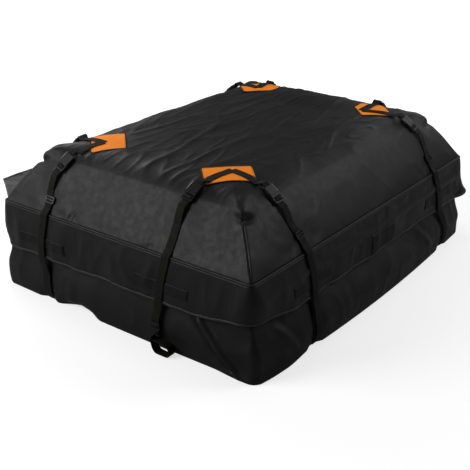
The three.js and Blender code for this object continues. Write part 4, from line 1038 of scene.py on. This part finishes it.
def unit_rows(v):
    return v / np.linalg.norm(v, axis=-1, keepdims=True)


def binding_rows():
    """The hem's binding: a narrow folded strip over the last few millimetres of the flap."""
    face, end = FLAP_FACE[-1], flap_outer[-1]
    up = unit_rows(flap_outer[-2] - end)
    rows = [(6.0, 0.05), (5.7, 0.8), (3.0, 1.15), (0.3, 1.0), (-1.1, 0.2),
            (-1.1, -2.2), (0.3, -2.9), (5.7, -2.7), (6.0, -2.0)]
    return np.array([end + up * rise + face * off for rise, off in rows])


binding_points = binding_rows().transpose(1, 0, 2)
hem_binding = grid_object("hem_binding", binding_points)
cap_ends(hem_binding, binding_points.shape[0], binding_points.shape[1])

# %% [markdown]
# The piping is a cord in a bias strip of the same cloth, caught in the seam. Its thickness
# varies a little, as that of sewn piping does.

# %% Piping
def piping_points():
    point, normal = on_outline(ROUND, HALF_LENGTH, HALF_WIDTH, CLOTH_RADIUS)
    radius = 2.5
    centre = np.concatenate([point + normal * (radius + GAP - LID_INSET),
                             np.full((len(point), 1), SEAM_HEIGHT + GAP + radius)], 1)
    out = np.concatenate([normal, np.zeros((len(point), 1))], 1)
    size = 1 + 0.10 * field(centre[None] * np.array([1, 1, 0]), 26, 51, octaves=1)[0]
    angles = np.linspace(0, 2 * np.pi, 14, endpoint=False)
    return np.array([centre + out * (radius * math.cos(a) * size)[:, None]
                     + np.array([0, 0, 1.0]) * (radius * math.sin(a) * size)[:, None] for a in angles])


tube = piping_points()
seam_piping = grid_object("seam_piping", np.concatenate([tube, tube[:1]], 0))
print("piping and binding made")

# %% [markdown]
# Each corner patch is a doubled piece of orange coated fabric with an overlocked edge, sewn flat
# on the lid across its corner.

# %% Patches
def patch_frame(sx, sy):
    centre = np.array([sx * PATCH_AT[0], sy * PATCH_AT[1]])
    return centre, unit(np.array([-sx, sy])), unit(np.array([sx, sy]))


def patch_point(sx, sy, u, v, lift):
    centre, across, outward = patch_frame(sx, sy)
    x, y = centre + across * u + outward * v
    return np.array([x, y, float(lid_height(x, y)) + 1.5 * GAP + lift])


def patch_half(u):
    """Half the patch's width at u along it, less where its corners are rounded."""
    edge = max(abs(u) - (PATCH_LENGTH / 2 - PATCH_RADIUS), 0)
    return PATCH_WIDTH / 2 - (PATCH_RADIUS - math.sqrt(max(PATCH_RADIUS ** 2 - edge ** 2, 0)))


def make_patch(name, sx, sy):
    rows = []
    us = -np.cos(np.pi * np.arange(41) / 40) * (PATCH_LENGTH / 2)
    for u in us:
        half = patch_half(u)
        vs = -np.cos(np.pi * np.arange(25) / 24) * half
        border = lambda v: min(half - abs(v), PATCH_LENGTH / 2 - abs(u))
        puff = lambda v: (0.25 + 0.95 * float(smooth(border(v), 0, 1.6))
                          - 0.28 * math.exp(-((border(v) - 5) / 1.3) ** 2))
        top = [patch_point(sx, sy, u, v, puff(v)) for v in vs]
        bottom = [patch_point(sx, sy, u, v, 0.0) for v in vs[::-1]]
        rows.append(top + bottom)
    points = np.array(rows)
    obj = grid_object(name, points)
    cap_ends(obj, *points.shape[:2])
    return obj


PATCHES = {"front_left": (-1, -1), "rear_left": (-1, 1), "front_right": (1, -1), "rear_right": (1, 1)}
patches = {n: make_patch("patch_cloth_" + n, *s) for n, s in PATCHES.items()}
print("patches made:", len(patches))

# %% [markdown]
# The zip runs on three sides behind the flap. Its tape is woven; its chain is two rows of coil
# teeth that mesh, drawn here as one run of small rounded teeth by a node tree.

# %% Zip
ZIP_SHORT = 90


def zip_line(out, z):
    """Points and outward directions of the zip's way round, which ends short of the rear corners."""
    run = HALF_WIDTH - CLOTH_RADIUS
    end = (ZIP_SHORT - CLOTH_RADIUS) / (2 * run)
    rows = [(0, 3, s) for s in np.linspace(end, 1, 60, endpoint=False)]
    rows += [(1, 3, s) for s in np.linspace(0, 1, 24, endpoint=False)]
    rows += [(0, 0, s) for s in np.linspace(0, 1, 90, endpoint=False)]
    rows += [(1, 0, s) for s in np.linspace(0, 1, 24, endpoint=False)]
    rows += [(0, 1, s) for s in np.linspace(0, 1 - end, 60)]
    point, normal = on_outline(np.array(rows, float), HALF_LENGTH, HALF_WIDTH, CLOTH_RADIUS)
    points = np.concatenate([point + normal * out, np.full((len(point), 1), z)], 1)
    return points, np.concatenate([normal, np.zeros((len(point), 1))], 1)


TAPE_OUT, TAPE_THICK, CHAIN_THICK = GAP - FLAP_ROOM, 1.4, 2.4
tape_line, tape_face = zip_line(TAPE_OUT, ZIP_HEIGHT)
tape_rows = []
TAPE_SECTION = [(0.0, -16), (1.0, -16), (1.4, -14), (1.4, -5), (1.4, 5), (1.4, 14), (1.0, 16), (0.0, 16)]
for off, height in TAPE_SECTION:
    tape_rows.append(tape_line + tape_face * off + np.array([0, 0, float(height)]))
tape_points = np.array(tape_rows).transpose(1, 0, 2)
zip_tape_cloth = grid_object("zip_tape_cloth", tape_points)
cap_ends(zip_tape_cloth, *tape_points.shape[:2])

# %% [markdown]
# Stitches are the thing that repeats most on a bag. Each seam is given as a line of points, and
# one node tree walks along the line and sets a grain of thread at every pitch. The same tree,
# with a longer pitch and a squarer grain, lays the zip's teeth.

# %% Stitch tree
def repeat_tree():
    tree = bpy.data.node_groups.new("repeat_along_line", "GeometryNodeTree")
    face = tree.interface
    face.new_socket("Geometry", in_out="INPUT", socket_type="NodeSocketGeometry")
    for name in ("Pitch", "Half Length", "Half Width", "Half Depth"):
        face.new_socket(name, in_out="INPUT", socket_type="NodeSocketFloat")
    face.new_socket("Material", in_out="INPUT", socket_type="NodeSocketMaterial")
    face.new_socket("Geometry", in_out="OUTPUT", socket_type="NodeSocketGeometry")
    nodes, links = tree.nodes, tree.links
    enter, leave = nodes.new("NodeGroupInput"), nodes.new("NodeGroupOutput")
    curve = nodes.new("GeometryNodeMeshToCurve")
    resample = nodes.new("GeometryNodeResampleCurve")
    resample.mode = "LENGTH"
    tangent = nodes.new("GeometryNodeInputTangent")
    normal = nodes.new("GeometryNodeInputNamedAttribute")
    normal.data_type = "FLOAT_VECTOR"
    normal.inputs["Name"].default_value = "surface"
    align = nodes.new("FunctionNodeAlignRotationToVector")
    align.axis = "X"
    turn = nodes.new("FunctionNodeAlignRotationToVector")
    turn.axis = "Z"
    turn.pivot_axis = "X"
    grain = nodes.new("GeometryNodeMeshIcoSphere")
    grain.inputs["Radius"].default_value = 1.0
    grain.inputs["Subdivisions"].default_value = 1
    size = nodes.new("ShaderNodeCombineXYZ")
    instance = nodes.new("GeometryNodeInstanceOnPoints")
    realize = nodes.new("GeometryNodeRealizeInstances")
    shade = nodes.new("GeometryNodeSetShadeSmooth")
    paint = nodes.new("GeometryNodeSetMaterial")
    links.new(enter.outputs["Geometry"], curve.inputs[0])
    links.new(curve.outputs[0], resample.inputs["Curve"])
    links.new(enter.outputs["Pitch"], resample.inputs["Length"])
    links.new(resample.outputs[0], instance.inputs["Points"])
    links.new(grain.outputs[0], instance.inputs["Instance"])
    links.new(tangent.outputs[0], align.inputs["Vector"])
    links.new(align.outputs[0], turn.inputs["Rotation"])
    links.new(normal.outputs[0], turn.inputs["Vector"])
    links.new(turn.outputs[0], instance.inputs["Rotation"])
    for axis, name in zip("XYZ", ("Half Length", "Half Width", "Half Depth")):
        links.new(enter.outputs[name], size.inputs[axis])
    links.new(size.outputs[0], instance.inputs["Scale"])
    links.new(instance.outputs[0], realize.inputs[0])
    links.new(realize.outputs[0], shade.inputs[0])
    links.new(shade.outputs[0], paint.inputs[0])
    links.new(enter.outputs["Material"], paint.inputs["Material"])
    links.new(paint.outputs[0], leave.inputs[0])
    return tree


REPEAT = repeat_tree()
SOCKETS = {item.name: item.identifier for item in REPEAT.interface.items_tree
           if item.in_out == "INPUT"}


def along_lines(name, lines, material, pitch, half_length, half_width, half_depth):
    """lines: a list of (points in mm, face directions)."""
    verts, edges, faces = [], [], []
    for points, normals in lines:
        base = len(verts)
        verts += [tuple(np.array(p) / 1000) for p in points]
        faces += [tuple(n) for n in normals]
        edges += [(base + k, base + k + 1) for k in range(len(points) - 1)]
    guide = bpy.data.meshes.new(name + "_guide")
    guide.from_pydata(verts, edges, [])
    attribute = guide.attributes.new("surface", "FLOAT_VECTOR", "POINT")
    attribute.data.foreach_set("vector", np.array(faces, np.float32).ravel())
    carrier = new_object(name + "_guide", guide)
    modifier = carrier.modifiers.new("repeat", "NODES")
    modifier.node_group = REPEAT
    for key, value in (("Pitch", pitch), ("Half Length", half_length), ("Half Width", half_width),
                       ("Half Depth", half_depth), ("Material", material)):
        modifier[SOCKETS[key]] = value if key == "Material" else value / 1000
    graph = bpy.context.evaluated_depsgraph_get()
    mesh = bpy.data.meshes.new_from_object(carrier.evaluated_get(graph))
    mesh.name = name
    bpy.data.objects.remove(carrier)
    print(name, len(mesh.polygons), "faces")
    return new_object(name, mesh)


# %% [markdown]
# Shared effects are shader groups: one for the woven backing that shows through the coating,
# one for the drift in colour and gloss that handling leaves, and one for the ribs of webbing.
# They take a position or a UV and give back a height, a mask or a factor.

# %% Shader groups
RIB_PITCH = 0.0021


def group(name, inputs, outputs):
    tree = bpy.data.node_groups.new(name, "ShaderNodeTree")
    for label, kind in inputs:
        tree.interface.new_socket(label, in_out="INPUT", socket_type=kind)
    for label, kind in outputs:
        tree.interface.new_socket(label, in_out="OUTPUT", socket_type=kind)
    return tree, tree.nodes.new("NodeGroupInput"), tree.nodes.new("NodeGroupOutput")


def math_node(tree, operation, a, b=None):
    node = tree.nodes.new("ShaderNodeMath")
    node.operation = operation
    for socket, value in zip(node.inputs, (a, b)):
        if value is None:
            continue
        if isinstance(value, (int, float)):
            socket.default_value = value
        else:
            tree.links.new(value, socket)
    return node.outputs[0]


def weave_group():
    """Plain weave in UV space: warp and weft rise in turn."""
    inputs = [("UV", "NodeSocketVector"), ("Pitch", "NodeSocketFloat")]
    tree, enter, leave = group("plain_weave", inputs, [("Height", "NodeSocketFloat")])
    split = tree.nodes.new("ShaderNodeSeparateXYZ")
    tree.links.new(enter.outputs["UV"], split.inputs[0])
    waves = []
    for axis in (0, 1):
        turn = math_node(tree, "DIVIDE", split.outputs[axis], enter.outputs["Pitch"])
        waves.append(math_node(tree, "SINE", math_node(tree, "MULTIPLY", turn, math.pi)))
    both = math_node(tree, "MULTIPLY", waves[0], waves[1])
    tree.links.new(math_node(tree, "MULTIPLY_ADD", both, 0.5), leave.inputs[0])
    return tree


def drift_group():
    """Slow and fine variation from object position, for colour, gloss and fine bumps."""
    outputs = [(label, "NodeSocketFloat") for label in ("Broad", "Fine", "Grain")]
    tree, enter, leave = group("cloth_drift", [("Position", "NodeSocketVector")], outputs)
    for k, (scale, detail, rough) in enumerate(((7.0, 3.0, 0.55), (60.0, 4.0, 0.6), (420.0, 2.0, 0.5))):
        n = tree.nodes.new("ShaderNodeTexNoise")
        n.inputs["Scale"].default_value = scale
        n.inputs["Detail"].default_value = detail
        n.inputs["Roughness"].default_value = rough
        tree.links.new(enter.outputs[0], n.inputs["Vector"])
        tree.links.new(n.outputs[0], leave.inputs[k])
    return tree


def rib_group():
    """Webbing: diagonal ribs that meet in a herringbone."""
    tree, enter, leave = group("webbing_ribs", [("UV", "NodeSocketVector")], [("Height", "NodeSocketFloat")])
    split = tree.nodes.new("ShaderNodeSeparateXYZ")
    tree.links.new(enter.outputs["UV"], split.inputs[0])
    cell = math_node(tree, "PINGPONG", split.outputs[1], RIB_PITCH)
    slant = math_node(tree, "ADD", split.outputs[0], cell)
    waves = []
    for place, share in ((slant, 0.35), (split.outputs[1], 0.15)):
        wave = math_node(tree, "SINE", math_node(tree, "MULTIPLY", place, 2 * math.pi / RIB_PITCH))
        waves.append(math_node(tree, "MULTIPLY", wave, share))
    ribs = math_node(tree, "ADD", *waves)
    tree.links.new(math_node(tree, "ADD", ribs, 0.5), leave.inputs[0])
    return tree


WEAVE, DRIFT, RIBS = weave_group(), drift_group(), rib_group()


# %% [markdown]
# A material is a Principled shader whose colour, roughness and bump come from those groups.
# The tarpaulin is black with a soft satin coat: its folds show only by their sheen, so the
# roughness matters more than the colour.

# %% Materials
class Shader:
    def __init__(self, name):
        self.material = bpy.data.materials.new(name)
        self.material.use_nodes = True
        self.tree = self.material.node_tree
        self.bsdf = self.tree.nodes["Principled BSDF"]
        self.position = self.tree.nodes.new("ShaderNodeTexCoord").outputs["Object"]
        self.drift = self.use(DRIFT, Position=self.position)

    def use(self, tree, **links):
        node = self.tree.nodes.new("ShaderNodeGroup")
        node.node_tree = tree
        for key, value in links.items():
            if isinstance(value, (int, float)):
                node.inputs[key].default_value = value
            else:
                self.tree.links.new(value, node.inputs[key])
        return node

    def uv(self):
        node = self.tree.nodes.new("ShaderNodeUVMap")
        node.uv_map = "cloth"
        return node.outputs[0]

    def ramp(self, value, low, high, out_low=0.0, out_high=1.0):
        node = self.tree.nodes.new("ShaderNodeMapRange")
        for key, number in zip(("From Min", "From Max", "To Min", "To Max"), (low, high, out_low, out_high)):
            node.inputs[key].default_value = number
        self.tree.links.new(value, node.inputs["Value"])
        return node.outputs["Result"]

    def mix(self, factor, a, b):
        node = self.tree.nodes.new("ShaderNodeMix")
        node.data_type = "RGBA"
        self.tree.links.new(factor, node.inputs["Factor"])
        for socket, colour in ((node.inputs["A"], a), (node.inputs["B"], b)):
            if isinstance(colour, tuple):
                socket.default_value = (*colour, 1)
            else:
                self.tree.links.new(colour, socket)
        return node.outputs["Result"]

    def bump(self, height, distance, strength=1.0, onto=None):
        node = self.tree.nodes.new("ShaderNodeBump")
        node.inputs["Distance"].default_value = distance
        node.inputs["Strength"].default_value = strength
        self.tree.links.new(height, node.inputs["Height"])
        if onto is not None:
            self.tree.links.new(onto, node.inputs["Normal"])
        return node.outputs[0]

    def set(self, **values):
        for key, value in values.items():
            socket = self.bsdf.inputs[key.replace("_", " ")]
            if isinstance(value, (int, float, tuple)):
                socket.default_value = (*value, 1) if isinstance(value, tuple) else value
            else:
                self.tree.links.new(value, socket)
        return self.material


def cloth_material(name, dark, light, rough, weave_depth, specular=0.17):
    s = Shader(name)
    d = s.drift.outputs
    weave = s.use(WEAVE, UV=s.uv(), Pitch=0.0013).outputs["Height"]
    colour = s.mix(s.ramp(d["Broad"], 0.35, 0.65), dark, light)
    gloss = s.ramp(d["Fine"], 0.3, 0.7, rough - 0.05, rough + 0.07)
    relief = s.bump(d["Fine"], 0.0012, 0.35)
    relief = s.bump(d["Grain"], 0.00025, 0.5, relief)
    relief = s.bump(weave, weave_depth, 0.5, relief)
    return s.set(Base_Color=colour, Roughness=gloss, Normal=relief, Specular_IOR_Level=specular)


def webbing_groove_shade_material(name, dark, light):
    s = Shader(name)
    d = s.drift.outputs
    ribs = s.use(RIBS, UV=s.uv())
    # Painted shade and light: the colour follows the rib height, darker in the grooves between the ribs and
    # lighter on their crowns.
    colour = s.mix(s.ramp(ribs.outputs["Height"], 0.1, 0.9), dark, light)
    relief = s.bump(ribs.outputs["Height"], 0.0005, 0.8)
    gloss = s.ramp(d["Fine"], 0.3, 0.7, 0.62, 0.78)
    return s.set(Base_Color=colour, Roughness=gloss, Normal=relief, Specular_IOR_Level=0.12)


def plastic_material(name, dark, light, rough):
    s = Shader(name)
    d = s.drift.outputs
    colour = s.mix(s.ramp(d["Broad"], 0.35, 0.65), dark, light)
    gloss = s.ramp(d["Fine"], 0.3, 0.7, rough - 0.06, rough + 0.08)
    relief = s.bump(d["Grain"], 0.00012, 0.6)
    return s.set(Base_Color=colour, Roughness=gloss, Normal=relief, Specular_IOR_Level=0.22)


def metal_material(name):
    s = Shader(name)
    d = s.drift.outputs
    colour = s.mix(s.ramp(d["Fine"], 0.35, 0.65), (0.30, 0.31, 0.33), (0.45, 0.46, 0.48))
    gloss = s.ramp(d["Fine"], 0.3, 0.7, 0.26, 0.42)
    return s.set(Base_Color=colour, Metallic=1.0, Roughness=gloss, Normal=s.bump(d["Grain"], 0.0001, 0.5))


TARPAULIN = cloth_material("tarpaulin", (0.0042, 0.0043, 0.0044), (0.0066, 0.0067, 0.0068), 0.50, 0.00010)
TUB_CLOTH = cloth_material("tarpaulin_tub", (0.0042, 0.0043, 0.0044), (0.0068, 0.0069, 0.0070), 0.52, 0.00010)
PIPING = cloth_material("piping_cloth", (0.008, 0.008, 0.0083), (0.013, 0.013, 0.0133), 0.48, 0.00008, 0.22)
BINDING = cloth_material("binding_tape", (0.009, 0.009, 0.0093), (0.015, 0.015, 0.0153), 0.5, 0.00018, 0.30)
ORANGE = cloth_material("orange_cloth", (0.80, 0.205, 0.007), (0.89, 0.245, 0.011), 0.62, 0.00012, 0.15)
WEBBING = webbing_groove_shade_material("webbing", (0.0026, 0.0027, 0.0020), (0.0066, 0.0067, 0.0052))
PAD = cloth_material("sewn_pads", (0.0048, 0.0049, 0.0050), (0.0074, 0.0075, 0.0076), 0.56, 0.00014, 0.12)
TAPE = webbing_groove_shade_material("zip_tape", (0.0032, 0.0032, 0.0030), (0.0070, 0.0070, 0.0066))
PLASTIC = plastic_material("buckle_plastic", (0.0038, 0.0039, 0.0041), (0.0058, 0.0060, 0.0062), 0.36)
CHAIN = plastic_material("zip_coil", (0.006, 0.006, 0.0065), (0.010, 0.010, 0.011), 0.40)
METAL = metal_material("zip_metal")
THREAD = plastic_material("thread", (0.012, 0.012, 0.0125), (0.022, 0.022, 0.0225), 0.55)
DARK_THREAD = plastic_material("patch_thread", (0.010, 0.005, 0.003), (0.018, 0.009, 0.005), 0.60)
print("materials made")

# %% [markdown]
# Where the stitching runs: under the piping, along the hem binding in two rows, round each
# patch and sewn pad, in a box with a cross where each leg is sewn back on itself, and in two
# boxes on the tab in the middle of the front. Each patch's edge is overlocked, with longer grains.

# %% Stitch lines
PAD_STITCH_OFF, PAD_STITCH_INSET = GAP + 1.3, 3.0
TAB_BOX, TAB_BOX_AT = 52, 34


def flap_line(row, off):
    """A stitch line along the whole flap, at one row of its grid."""
    return flap_outer[row] + FLAP_FACE[row] * off, FLAP_FACE[row]


def pad_lines(side, along, length, drop, height):
    lines = []
    a, h = length / 2 - PAD_STITCH_INSET, height / 2 - PAD_STITCH_INSET
    corners = [(-a, -h), (a, -h), (a, h), (-a, h), (-a, -h)]
    for (u0, v0), (u1, v1) in zip(corners[:-1], corners[1:]):
        steps = max(int(math.hypot(u1 - u0, v1 - v0) / 6), 2)
        spots = []
        for t in np.linspace(0, 1, steps):
            u, v = along + u0 + (u1 - u0) * t, drop + v0 + (v1 - v0) * t
            spots.append(flap_at(side, u, v, PAD_STITCH_OFF))
        lines.append(([p for p, _ in spots], [n for _, n in spots]))
    return lines


def patch_lines(sx, sy, inset, lift):
    r = PATCH_RADIUS - 3
    a, h = PATCH_LENGTH / 2 - inset - r, PATCH_WIDTH / 2 - inset - r
    spots = []
    for cx, cy, start in ((a, h, 0), (-a, h, 90), (-a, -h, 180), (a, -h, 270)):
        for angle in np.radians(np.arange(start, start + 91, 15)):
            spots.append((cx + r * math.cos(angle), cy + r * math.sin(angle)))
    spots.append(spots[0])
    fine = []
    for (u0, v0), (u1, v1) in zip(spots[:-1], spots[1:]):
        n = max(int(math.hypot(u1 - u0, v1 - v0) / 5), 1)
        fine += [(u0 + (u1 - u0) * k / n, v0 + (v1 - v0) * k / n) for k in range(n)]
    fine.append(spots[0])
    points = [patch_point(sx, sy, u, v, lift) for u, v in fine]
    normals = [lid_normal(p[0], p[1]) for p in points]
    return [(points, normals)]


def leg_box(strap):
    """Box and cross over the doubled end of a leg, beside the buckle's end bar."""
    points, across = settle(leg_path(strap))
    a, b = points[3], points[9]
    run, side = unit(b - a), unit(across[6])
    face = lid_normal(points[6][0], points[6][1])
    half, w = np.linalg.norm(b - a) * 0.42, 8.5
    centre = (a + b) / 2
    lift = PATCH_THICK + 3 * GAP + WEB_THICK + 0.15
    spot = lambda s, t: on_lid(*(centre + run * s + side * t)[:2], lift)
    corners = [(-half, -w), (half, -w), (half, w), (-half, w), (-half, -w), (half, w)]
    spans = list(zip(corners[:-1], corners[1:])) + [((-half, w), (half, -w))]
    lines = []
    for (s0, t0), (s1, t1) in spans:
        line = [spot(s0 + (s1 - s0) * k, t0 + (t1 - t0) * k) for k in np.linspace(0, 1, 8)]
        lines.append((line, [face] * len(line)))
    return lines


seam_lines = [flap_line(2, 0.15), flap_line(27, 1.1), flap_line(28, 1.15)]
seam_stitches = along_lines("stitches_seam", seam_lines, THREAD, 3.6, 1.25, 0.42, 0.3)
pad_stitch_lines = []
for strap in STRAPS:
    centre = along_at(strap, SEAM_HEIGHT - PAD_DROP)
    pad_stitch_lines += pad_lines(strap["side"], centre, *PAD_SIZE)
for middle in (TAB_ALONG - TAB_BOX_AT, TAB_ALONG + TAB_BOX_AT):
    pad_stitch_lines += pad_lines("front", middle, TAB_BOX, TAB_DROP, TAB_BOX)
pad_stitches = along_lines("stitches_pads", pad_stitch_lines, THREAD, 3.6, 1.3, 0.45, 0.32)
patch_stitch_lines = []
for sx, sy in PATCHES.values():
    patch_stitch_lines += patch_lines(sx, sy, 5.0, 0.98)
patch_stitches = along_lines("stitches_patches", patch_stitch_lines, DARK_THREAD, 3.2, 1.25, 0.5, 0.35)
edge_lines = []
for sx, sy in PATCHES.values():
    edge_lines += patch_lines(sx, sy, 0.6, 0.75)
patch_edges = along_lines("overlocked_edges", edge_lines, DARK_THREAD, 1.7, 1.0, 3.0, 1.1)
leg_stitch_lines = []
for strap in STRAPS:
    leg_stitch_lines += leg_box(strap)
leg_stitches = along_lines("stitches_legs", leg_stitch_lines, THREAD, 2.8, 1.1, 0.4, 0.3)
teeth_line, teeth_face = zip_line(TAPE_OUT + TAPE_THICK + GAP + CHAIN_THICK / 2, ZIP_HEIGHT)
teeth = along_lines("zip_teeth", [(teeth_line, teeth_face)], CHAIN, 2.6, 1.1, 3.9, 1.2)

# %% [markdown]
# Every piece made here rides on the bag's own body and gets a material of its own. Skins and
# webbing hide the frame's solids that they stand for; stitches, the hem's binding, the patches'
# edges and the upper tri-glides are extra. The frame's buckles, tri-glides, sliders and pulls stay
# as they are and only get new materials.

# %% Dressing the frame
def dress(obj, material, slot_name, *nodes):
    turn = bmesh.new()
    turn.from_mesh(obj.data)
    bmesh.ops.recalc_face_normals(turn, faces=turn.faces)
    turn.to_mesh(obj.data)
    turn.free()
    if not obj.data.materials:
        obj.data.materials.append(material)
    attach(obj, BODY)
    if nodes:
        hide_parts(*nodes)


dress(lid_cloth, TARPAULIN, "tarpaulin", "lid")
dress(tub_cloth, TUB_CLOTH, "tarpaulin", "tub")
dress(flap_cloth, TARPAULIN, "tarpaulin", "storm_flap")
dress(hem_binding, BINDING, "tarpaulin")
dress(seam_piping, PIPING, "tarpaulin", "piping")
dress(zip_tape_cloth, TAPE, "webbing", "zip_tape")
dress(teeth, CHAIN, "buckle_plastic", "zip_chain")
dress(tab, PAD, "webbing", "centre_tab")
for name, obj in strap_objects.items():
    dress(obj, WEBBING, "webbing", "strap_" + name)
    dress(pads[name], PAD, "webbing", "anchor_" + name)
for name, obj in leg_objects.items():
    dress(obj, WEBBING, "webbing", "legs_" + name)
    dress(patches[name], ORANGE, "orange_fabric", "patch_" + name)
for obj in (seam_stitches, pad_stitches, leg_stitches):
    dress(obj, THREAD, "webbing")
for obj in upper_glides:
    dress(obj, PLASTIC, "buckle_plastic")
for obj in (patch_stitches, patch_edges):
    dress(obj, DARK_THREAD, "webbing")

for name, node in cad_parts.items():
    if node.hide_render:
        continue
    node.data.materials.clear()
    node.data.materials.append(METAL if name.startswith("zip_") else PLASTIC)

# %% [markdown]
# The stage is a photographer's white table: a strong soft light from the left and behind, a weaker
# one from the right in front, fills from above, the rear and the right, and white all round. The
# camera and the lamps were fitted to the photograph; places are in metres and powers in watts.

# %% Stage, light and camera
def area_light(name, place, target, size, power):
    data = bpy.data.lights.new(name, "AREA")
    data.shape = "RECTANGLE"
    data.size, data.size_y = size
    data.energy = power
    light = new_object(name, data)
    light.location = place
    light.rotation_euler = (Vector(target) - Vector(place)).to_track_quat("-Z", "Y").to_euler()


def seen_as_white(nodes, links, dim):
    """A strength that is white to the camera and through glass, dimmer in a sheen and as light."""
    path = nodes.new("ShaderNodeLightPath")
    direct = nodes.new("ShaderNodeMath")
    direct.operation = "MAXIMUM"
    links.new(path.outputs["Is Camera Ray"], direct.inputs[0])
    links.new(path.outputs["Is Transmission Ray"], direct.inputs[1])
    sheen = nodes.new("ShaderNodeMath")
    sheen.operation = "MULTIPLY"
    sheen.inputs[1].default_value = SHEEN_SHARE
    links.new(path.outputs["Is Glossy Ray"], sheen.inputs[0])
    both = nodes.new("ShaderNodeMath")
    both.operation = "MAXIMUM"
    links.new(direct.outputs[0], both.inputs[0])
    links.new(sheen.outputs[0], both.inputs[1])
    strength = nodes.new("ShaderNodeMapRange")
    strength.inputs["To Min"].default_value = dim
    strength.inputs["To Max"].default_value = 1.0
    links.new(both.outputs[0], strength.inputs["Value"])
    return strength.outputs["Result"]


def white_room():
    world = bpy.data.worlds.new("white_room")
    bpy.context.scene.world = world
    world.use_nodes = True
    nodes, links = world.node_tree.nodes, world.node_tree.links
    background = nodes["Background"]
    background.inputs["Color"].default_value = (1, 1, 1, 1)
    links.new(seen_as_white(nodes, links, ROOM_LIGHT), background.inputs["Strength"])


def floor_material():
    material = bpy.data.materials.new("pale_floor")
    material.use_nodes = True
    nodes, links = material.node_tree.nodes, material.node_tree.links
    bsdf = nodes["Principled BSDF"]
    bsdf.inputs["Base Color"].default_value = (0.45, 0.45, 0.45, 1)
    bsdf.inputs["Roughness"].default_value = 0.9
    bsdf.inputs["Specular IOR Level"].default_value = 0.05
    bsdf.inputs["Emission Color"].default_value = (1, 1, 1, 1)
    place = nodes.new("ShaderNodeTexCoord")
    reach = nodes.new("ShaderNodeVectorMath")
    reach.operation = "LENGTH"
    links.new(place.outputs["Object"], reach.inputs[0])
    far = nodes.new("ShaderNodeMapRange")
    far.interpolation_type = "SMOOTHSTEP"
    for key, value in zip(("From Min", "From Max", "To Min", "To Max"), (0.8, 2.6, FLOOR_GLOW, 1.0)):
        far.inputs[key].default_value = value
    links.new(reach.outputs["Value"], far.inputs["Value"])
    glow = nodes.new("ShaderNodeMath")
    glow.operation = "MULTIPLY"
    links.new(seen_as_white(nodes, links, 0.0), glow.inputs[0])
    links.new(far.outputs["Result"], glow.inputs[1])
    links.new(glow.outputs[0], bsdf.inputs["Emission Strength"])
    return material


ROOM_LIGHT, SHEEN_SHARE, FLOOR_GLOW = 0.06, 0.05, 0.66
FLOOR_REACH = 30000
floor_corners = [(sx * FLOOR_REACH, sy * FLOOR_REACH, 0) for sx, sy in ((-1, -1), (1, -1), (1, 1), (-1, 1))]
floor = mesh_from("floor", floor_corners, [(0, 1, 2, 3)])
floor.data.materials.append(floor_material())
white_room()
area_light("left_back", (-2.9, 2.05, 2.2), (-0.45, 0.0, 0.3), (2.2, 1.8), 118)
area_light("right_front", (2.2, -2.4, 2.7), (-0.1, -0.35, 0.3), (1.8, 1.6), 62)
area_light("top", (0.2, 0.1, 3.6), (0.0, 0.0, 0.3), (1.6, 1.6), 15)
area_light("rear_fill", (0.9, 3.6, 1.7), (0.0, 0.3, 0.2), (2.4, 1.6), 60)
area_light("right_fill", (3.7, 0.1, 1.2), (0.4, 0.0, 0.2), (2.0, 1.4), 20)

camera_data = bpy.data.cameras.new("photo_camera")
camera_data.sensor_width = 36.0
camera_data.lens = 67.9
camera = new_object("photo_camera", camera_data)
camera.location = (-1.989, -1.471, 1.19)
camera.rotation_euler = (math.radians(90 - 24.4), 0, math.radians(-52.7))
bpy.context.scene.camera = camera
bpy.context.scene.view_settings.view_transform = "Standard"
